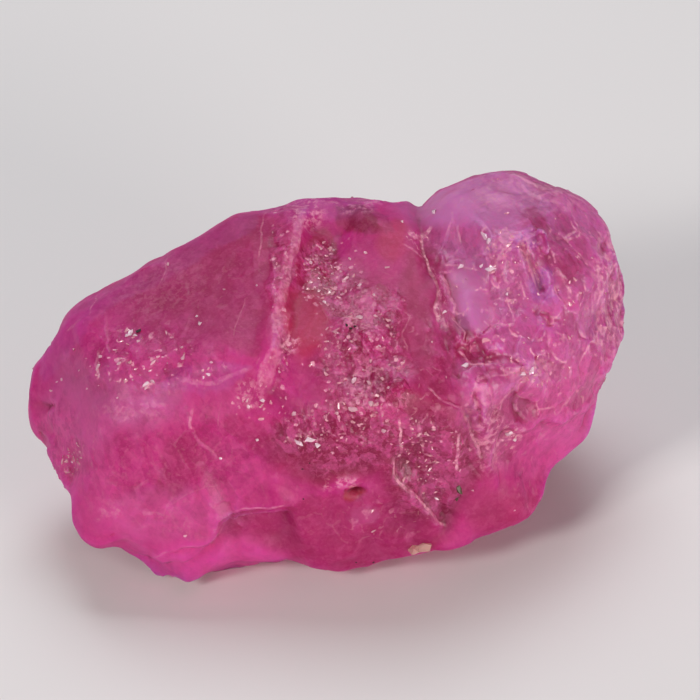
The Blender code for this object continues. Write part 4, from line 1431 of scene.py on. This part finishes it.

# %% [markdown]
# ## The list of marks
# The glints are corundum chips painted near white, a painted highlight for the flash of a
# clean face, and pinker crumbs are crushed ones. The dark and green grains are other
# minerals that grew with the ruby, and the straw-coloured ones at the lower edge are quartz.
# Scattering them would be quicker, but the eye goes to exactly these, so each has its own
# place, size and turn.

# %% Chips placed one by one
# u, v, length, width, thickness in mm, and turn in degrees
GLINTS = (
    (3.62, 3.3, 0.24, 0.12, 0.1, 20), (3.72, 3.18, 0.16, 0.1, 0.08, -30), (3.77, 2.53, 0.2, 0.12, 0.08, 0),
    (3.55, 2.6, 0.12, 0.08, 0.06, 40), (3.09, 2.6, 0.16, 0.09, 0.07, -15), (4.14, 1.95, 0.08, 0.06, 0.05, 0),
    (2.47, 3.86, 0.15, 0.11, 0.08, 10), (1.72, 3.63, 0.09, 0.09, 0.06, 0), (4.7, 0.19, 0.18, 0.1, 0.08, 30),
    (4.5, 0.1, 0.12, 0.08, 0.06, -20), (4.18, -1.28, 0.16, 0.12, 0.08, 30),
    (4.32, -1.42, 0.12, 0.1, 0.06, 80), (3.19, 0.3, 0.15, 0.14, 0.08, 0),
    (-0.65, -1.49, 0.18, 0.09, 0.07, -30), (-0.4, -1.4, 0.24, 0.12, 0.09, -10),
    (-0.25, -1.53, 0.12, 0.08, 0.06, 20), (-4.56, 1.06, 0.16, 0.09, 0.08, 35),
    (-4.44, 0.98, 0.1, 0.08, 0.06, -60), (-4.65, 0.99, 0.09, 0.06, 0.05, 10),
    (-2.95, 1.26, 0.13, 0.07, 0.05, -10), (-3.02, 1.43, 0.05, 0.05, 0.04, 0),
    (-4.21, -0.14, 0.18, 0.06, 0.05, 35), (-2.74, 0.09, 0.1, 0.08, 0.05, -20),
    (-2.86, 0.02, 0.07, 0.05, 0.04, 10), (-1.63, -1.42, 0.09, 0.06, 0.05, 50),
    (-1.5, -0.52, 0.12, 0.08, 0.06, 20), (-2.47, -1.84, 0.07, 0.05, 0.04, 0),
    (-5.93, -1.93, 0.06, 0.05, 0.04, 0), (2.53, -2.79, 0.12, 0.05, 0.05, -40),
    (2.7, 1.53, 0.12, 0.06, 0.06, 70),
)
CRUMBS = (
    (-5.31, 0.24, 0.2, 0.06, 0.05, 80), (-5.24, 0.5, 0.12, 0.05, 0.04, 60),
    (-4.82, 0.33, 0.12, 0.05, 0.04, 70), (-4.43, 0.21, 0.1, 0.04, 0.04, 60),
    (-4.02, 0.38, 0.16, 0.06, 0.05, 40), (-3.9, 0.5, 0.1, 0.05, 0.04, 20),
    (-4.08, 0.18, 0.12, 0.05, 0.04, 50), (-4.05, -0.06, 0.16, 0.05, 0.05, 20),
    (-4.18, -0.22, 0.1, 0.05, 0.04, 40), (-3.33, 0.47, 0.1, 0.08, 0.05, 0),
    (-3.36, 0.71, 0.07, 0.05, 0.04, 0), (-4.91, 0.65, 0.1, 0.04, 0.04, 20),
    (-4.37, 0.86, 0.07, 0.06, 0.04, 0), (-3.72, 1.04, 0.08, 0.05, 0.04, 30),
    (-2.68, 0.37, 0.06, 0.05, 0.04, 0), (-6.16, -0.03, 0.08, 0.05, 0.04, 0),
    (-1.82, -0.66, 0.1, 0.06, 0.05, -60), (-1.85, -0.51, 0.08, 0.04, 0.04, 70),
    (0.58, -0.7, 0.16, 0.12, 0.08, 10), (0.98, -0.58, 0.12, 0.1, 0.07, 60), (0.2, -0.8, 0.08, 0.07, 0.05, 0),
    (-3.7, 2.63, 0.07, 0.06, 0.04, 0), (1.28, -1.2, 0.11, 0.1, 0.07, 0), (0.72, 1.4, 0.14, 0.09, 0.07, 60),
    (-0.4, 2.67, 0.07, 0.06, 0.04, 80), (-0.4, 2.21, 0.08, 0.06, 0.05, 0), (-0.21, 2.02, 0.1, 0.06, 0.05, 10),
    (0.11, 2.41, 0.06, 0.05, 0.04, 40), (0.31, 2.47, 0.06, 0.06, 0.04, 0), (0.05, 2.02, 0.08, 0.06, 0.05, 30),
    (-0.08, 1.76, 0.09, 0.06, 0.04, 0), (-0.15, 2.99, 0.06, 0.05, 0.04, 0), (0.14, 2.96, 0.05, 0.05, 0.04, 0),
    (0.5, 2.76, 0.11, 0.05, 0.04, 10), (0.88, 2.9, 0.09, 0.06, 0.04, 70), (1.38, 2.56, 0.12, 0.05, 0.04, 40),
    (0.73, 2.15, 0.12, 0.08, 0.06, -30), (1.06, 1.93, 0.09, 0.05, 0.04, 20),
    (1.1, 1.44, 0.11, 0.06, 0.04, -30), (0.54, 0.84, 0.07, 0.06, 0.04, 0), (0.96, 0.9, 0.06, 0.05, 0.04, 0),
    (1.2, 0.74, 0.08, 0.05, 0.04, -40), (-1.12, 0.15, 0.06, 0.06, 0.04, 0), (0.6, -0.06, 0.12, 0.1, 0.06, 20),
    (0.95, -0.1, 0.11, 0.08, 0.06, 60), (1.4, -0.21, 0.08, 0.06, 0.04, 0),
    (-0.78, -0.82, 0.1, 0.08, 0.06, 30), (2.4, 0.83, 0.05, 0.05, 0.04, 0),
    (-2.41, 2.05, 0.08, 0.04, 0.03, 70), (-1.64, 2.14, 0.06, 0.04, 0.03, 20),
    (-6.28, -0.09, 0.08, 0.04, 0.03, 60), (-6.42, -0.3, 0.09, 0.04, 0.03, 20),
    (-5.56, -0.24, 0.08, 0.04, 0.03, 30), (-5.75, 0.18, 0.06, 0.04, 0.03, 60),
    (-3.29, -3.64, 0.08, 0.05, 0.03, 0), (1.05, -3.54, 0.09, 0.04, 0.03, 20),
    (1.02, -3.08, 0.08, 0.04, 0.03, 60), (3.35, -2.6, 0.06, 0.04, 0.03, 0),
    (4.33, -3.07, 0.06, 0.04, 0.03, 30), (-4.85, -0.45, 0.07, 0.04, 0.03, 60),
)
DARK_SPECKS = (
    (-4.37, 1.09, 0.15, 0.11, 0.1, 60), (0.43, 1.22, 0.09, 0.05, 0.04, -50),
    (0.52, 1.15, 0.12, 0.05, 0.04, 0), (0.63, 1.19, 0.09, 0.05, 0.04, 50),
    (-0.58, -2.09, 0.06, 0.04, 0.03, 0), (-0.42, -1.95, 0.05, 0.04, 0.03, 0),
    (-0.56, -2.79, 0.05, 0.05, 0.03, 0), (1.05, -4.28, 0.06, 0.05, 0.04, 0),
    (0.65, -4.28, 0.05, 0.04, 0.03, 0),
)
GREEN_SPECKS = ((3.04, -2.58, 0.18, 0.26, 0.16, 0), (2.98, -2.78, 0.12, 0.18, 0.11, 20))
STRAW_GRAINS = ((2.0, -3.98, 0.4, 0.34, 0.3, 10), (2.2, -3.93, 0.44, 0.24, 0.24, 20))
MINERAL_IOR = 1.6
# piece, its chips, how much they grow, and material, colour, roughness, clearness, index
PLACED = (
    # glints painted near white: a painted highlight on real chips
    ("ruby_glints", GLINTS, 1.25, ("clean_corundum", "#FCDCE8", 0.18, 0.25, RUBY_IOR)),
    ("ruby_crumbs", CRUMBS, 1.25, ("pink_corundum", "#F0BCCA", 0.28, 0.35, RUBY_IOR)),
    ("dark_specks", DARK_SPECKS, 1.0, ("black_mineral", "#1C0A0C", 0.45, 0.0, MINERAL_IOR)),
    ("green_specks", GREEN_SPECKS, 1.0, ("green_mineral", "#4C3E20", 0.5, 0.0, MINERAL_IOR)),
    ("straw_grains", STRAW_GRAINS, 1.0, ("straw_quartz", "#F8CCBE", 0.12, 0.60, MINERAL_IOR)),
)
placed = [chips_here(name, marks, grow, grain_material(*look)) for name, marks, grow, look in PLACED]
print("placed:", {name: len(marks) for name, marks, _grow, _look in PLACED})

# %% [markdown]
# ## Tying the pieces to the part
# The whole stone is one body, so every piece rides on the root. The skin takes the place of
# the solid's own mesh in the picture.

# %% Ride and replace
for piece in (skin, chips, *placed):
    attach(piece, "root")
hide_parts("ruby_crystal")
print("pieces:", 2 + len(placed))

# %% [markdown]
# ## The board it rests on
# A pale, matt painted board, so wide that its edge stays out of sight. It gives the stone a
# soft shadow and sends a little light back up into it.

# %% Floor
FLOOR_HALF = 2.0


def floor_piece():
    # Pale board with a coat of matt paint, rolled on.
    corners = [(x * FLOOR_HALF, y * FLOOR_HALF, 0) for x, y in ((-1, -1), (1, -1), (1, 1), (-1, 1))]
    mesh = bpy.data.meshes.new("floor")
    mesh.from_pydata(corners, [], [(0, 1, 2, 3)])
    material, tree = new_material("pale_matt_board")
    shader = add_node(tree, "ShaderNodeBsdfPrincipled", {"Base Color": colour("#E4E0DC"), "Roughness": 0.8})
    add_node(tree, "ShaderNodeOutputMaterial", {"Surface": shader})
    mesh.materials.append(material)
    made = new_object("floor", mesh)
    return made


print("floor:", [round(side, 1) for side in floor_piece().dimensions], "m")

# %% [markdown]
# ## Light
# Three square softboxes: a wide one above and behind, which shines through the upper rim, a
# smaller key from the left, which draws the relief, and a wide weak one low in front, so
# that the shadows keep their colour. They face the middle of the broad face. A little light
# from all round stands for the room.

# %% Lights
ROOM_COLOUR, ROOM_LIGHT = "#E9ECF2", 0.18
# name, turn round the stone and height in degrees, distance and size in mm, watts, colour
SOFTBOXES = (
    ("top_softbox", 180.0, 62.0, 220.0, 130.0, 0.27, "#F4F6FF"),
    ("key_softbox", -45.0, 34.0, 260.0, 60.0, 0.285, "#FFFFFF"),
    ("front_fill", 45.0, 10.0, 260.0, 120.0, 0.48, "#FFF8F6"),
)


def softbox(name, turn, height, far, size, watts, tint):
    """A square light that faces the stone: turn 0 is behind the camera."""
    light = bpy.data.lights.new(name, "AREA")
    light.shape = "SQUARE"
    light.size = size * MM
    light.energy = watts
    light.color = colour(tint)[:3]
    made = new_object(name, light)
    side, up = math.radians(turn + FACE_TURN), math.radians(height)
    away = Vector((math.sin(side) * math.cos(up), -math.cos(side) * math.cos(up), math.sin(up)))
    made.location = Vector(FACE_MIDDLE) * MM + away * far * MM
    made.rotation_mode = "QUATERNION"
    made.rotation_quaternion = away.to_track_quat("Z", "Y")
    made.visible_camera = False


for box in SOFTBOXES:
    softbox(*box)
world = bpy.data.worlds.new("studio")
world.use_nodes = True
world.node_tree.nodes["Background"].inputs["Color"].default_value = colour(ROOM_COLOUR)
world.node_tree.nodes["Background"].inputs["Strength"].default_value = ROOM_LIGHT
bpy.context.scene.world = world
bpy.context.scene.view_settings.view_transform = "Standard"
print("softboxes:", len(SOFTBOXES), " watts in all:", round(sum(box[5] for box in SOFTBOXES), 3))

# %% [markdown]
# ## The camera
# It stands far out along the paper's third arrow, so it looks straight at the broad face
# with hardly any perspective, as through a long lens. The lens follows from how many pixels
# a millimetre should take up, which keeps the stone at one size when the camera moves.

# %% Camera
PIXELS_PER_MM, FRAME_PIXELS = 43.0, 700
AIM = (22 / PIXELS_PER_MM, 28 / PIXELS_PER_MM, 0)
CAMERA_FAR = 300.0

camera_data = bpy.data.cameras.new("camera")
camera = new_object("camera", camera_data)
camera_data.sensor_width = 36
camera_data.lens = camera_data.sensor_width * CAMERA_FAR / (FRAME_PIXELS / PIXELS_PER_MM)
camera_data.clip_start = 0.01
camera_data.clip_end = 10.0
out = Vector(ARROWS[2])
camera.location = (Vector(in_room(AIM)) + out * CAMERA_FAR) * MM
camera.rotation_mode = "QUATERNION"
camera.rotation_quaternion = out.to_track_quat("Z", "Y")
bpy.context.scene.camera = camera
print("lens:", round(camera_data.lens), "mm")
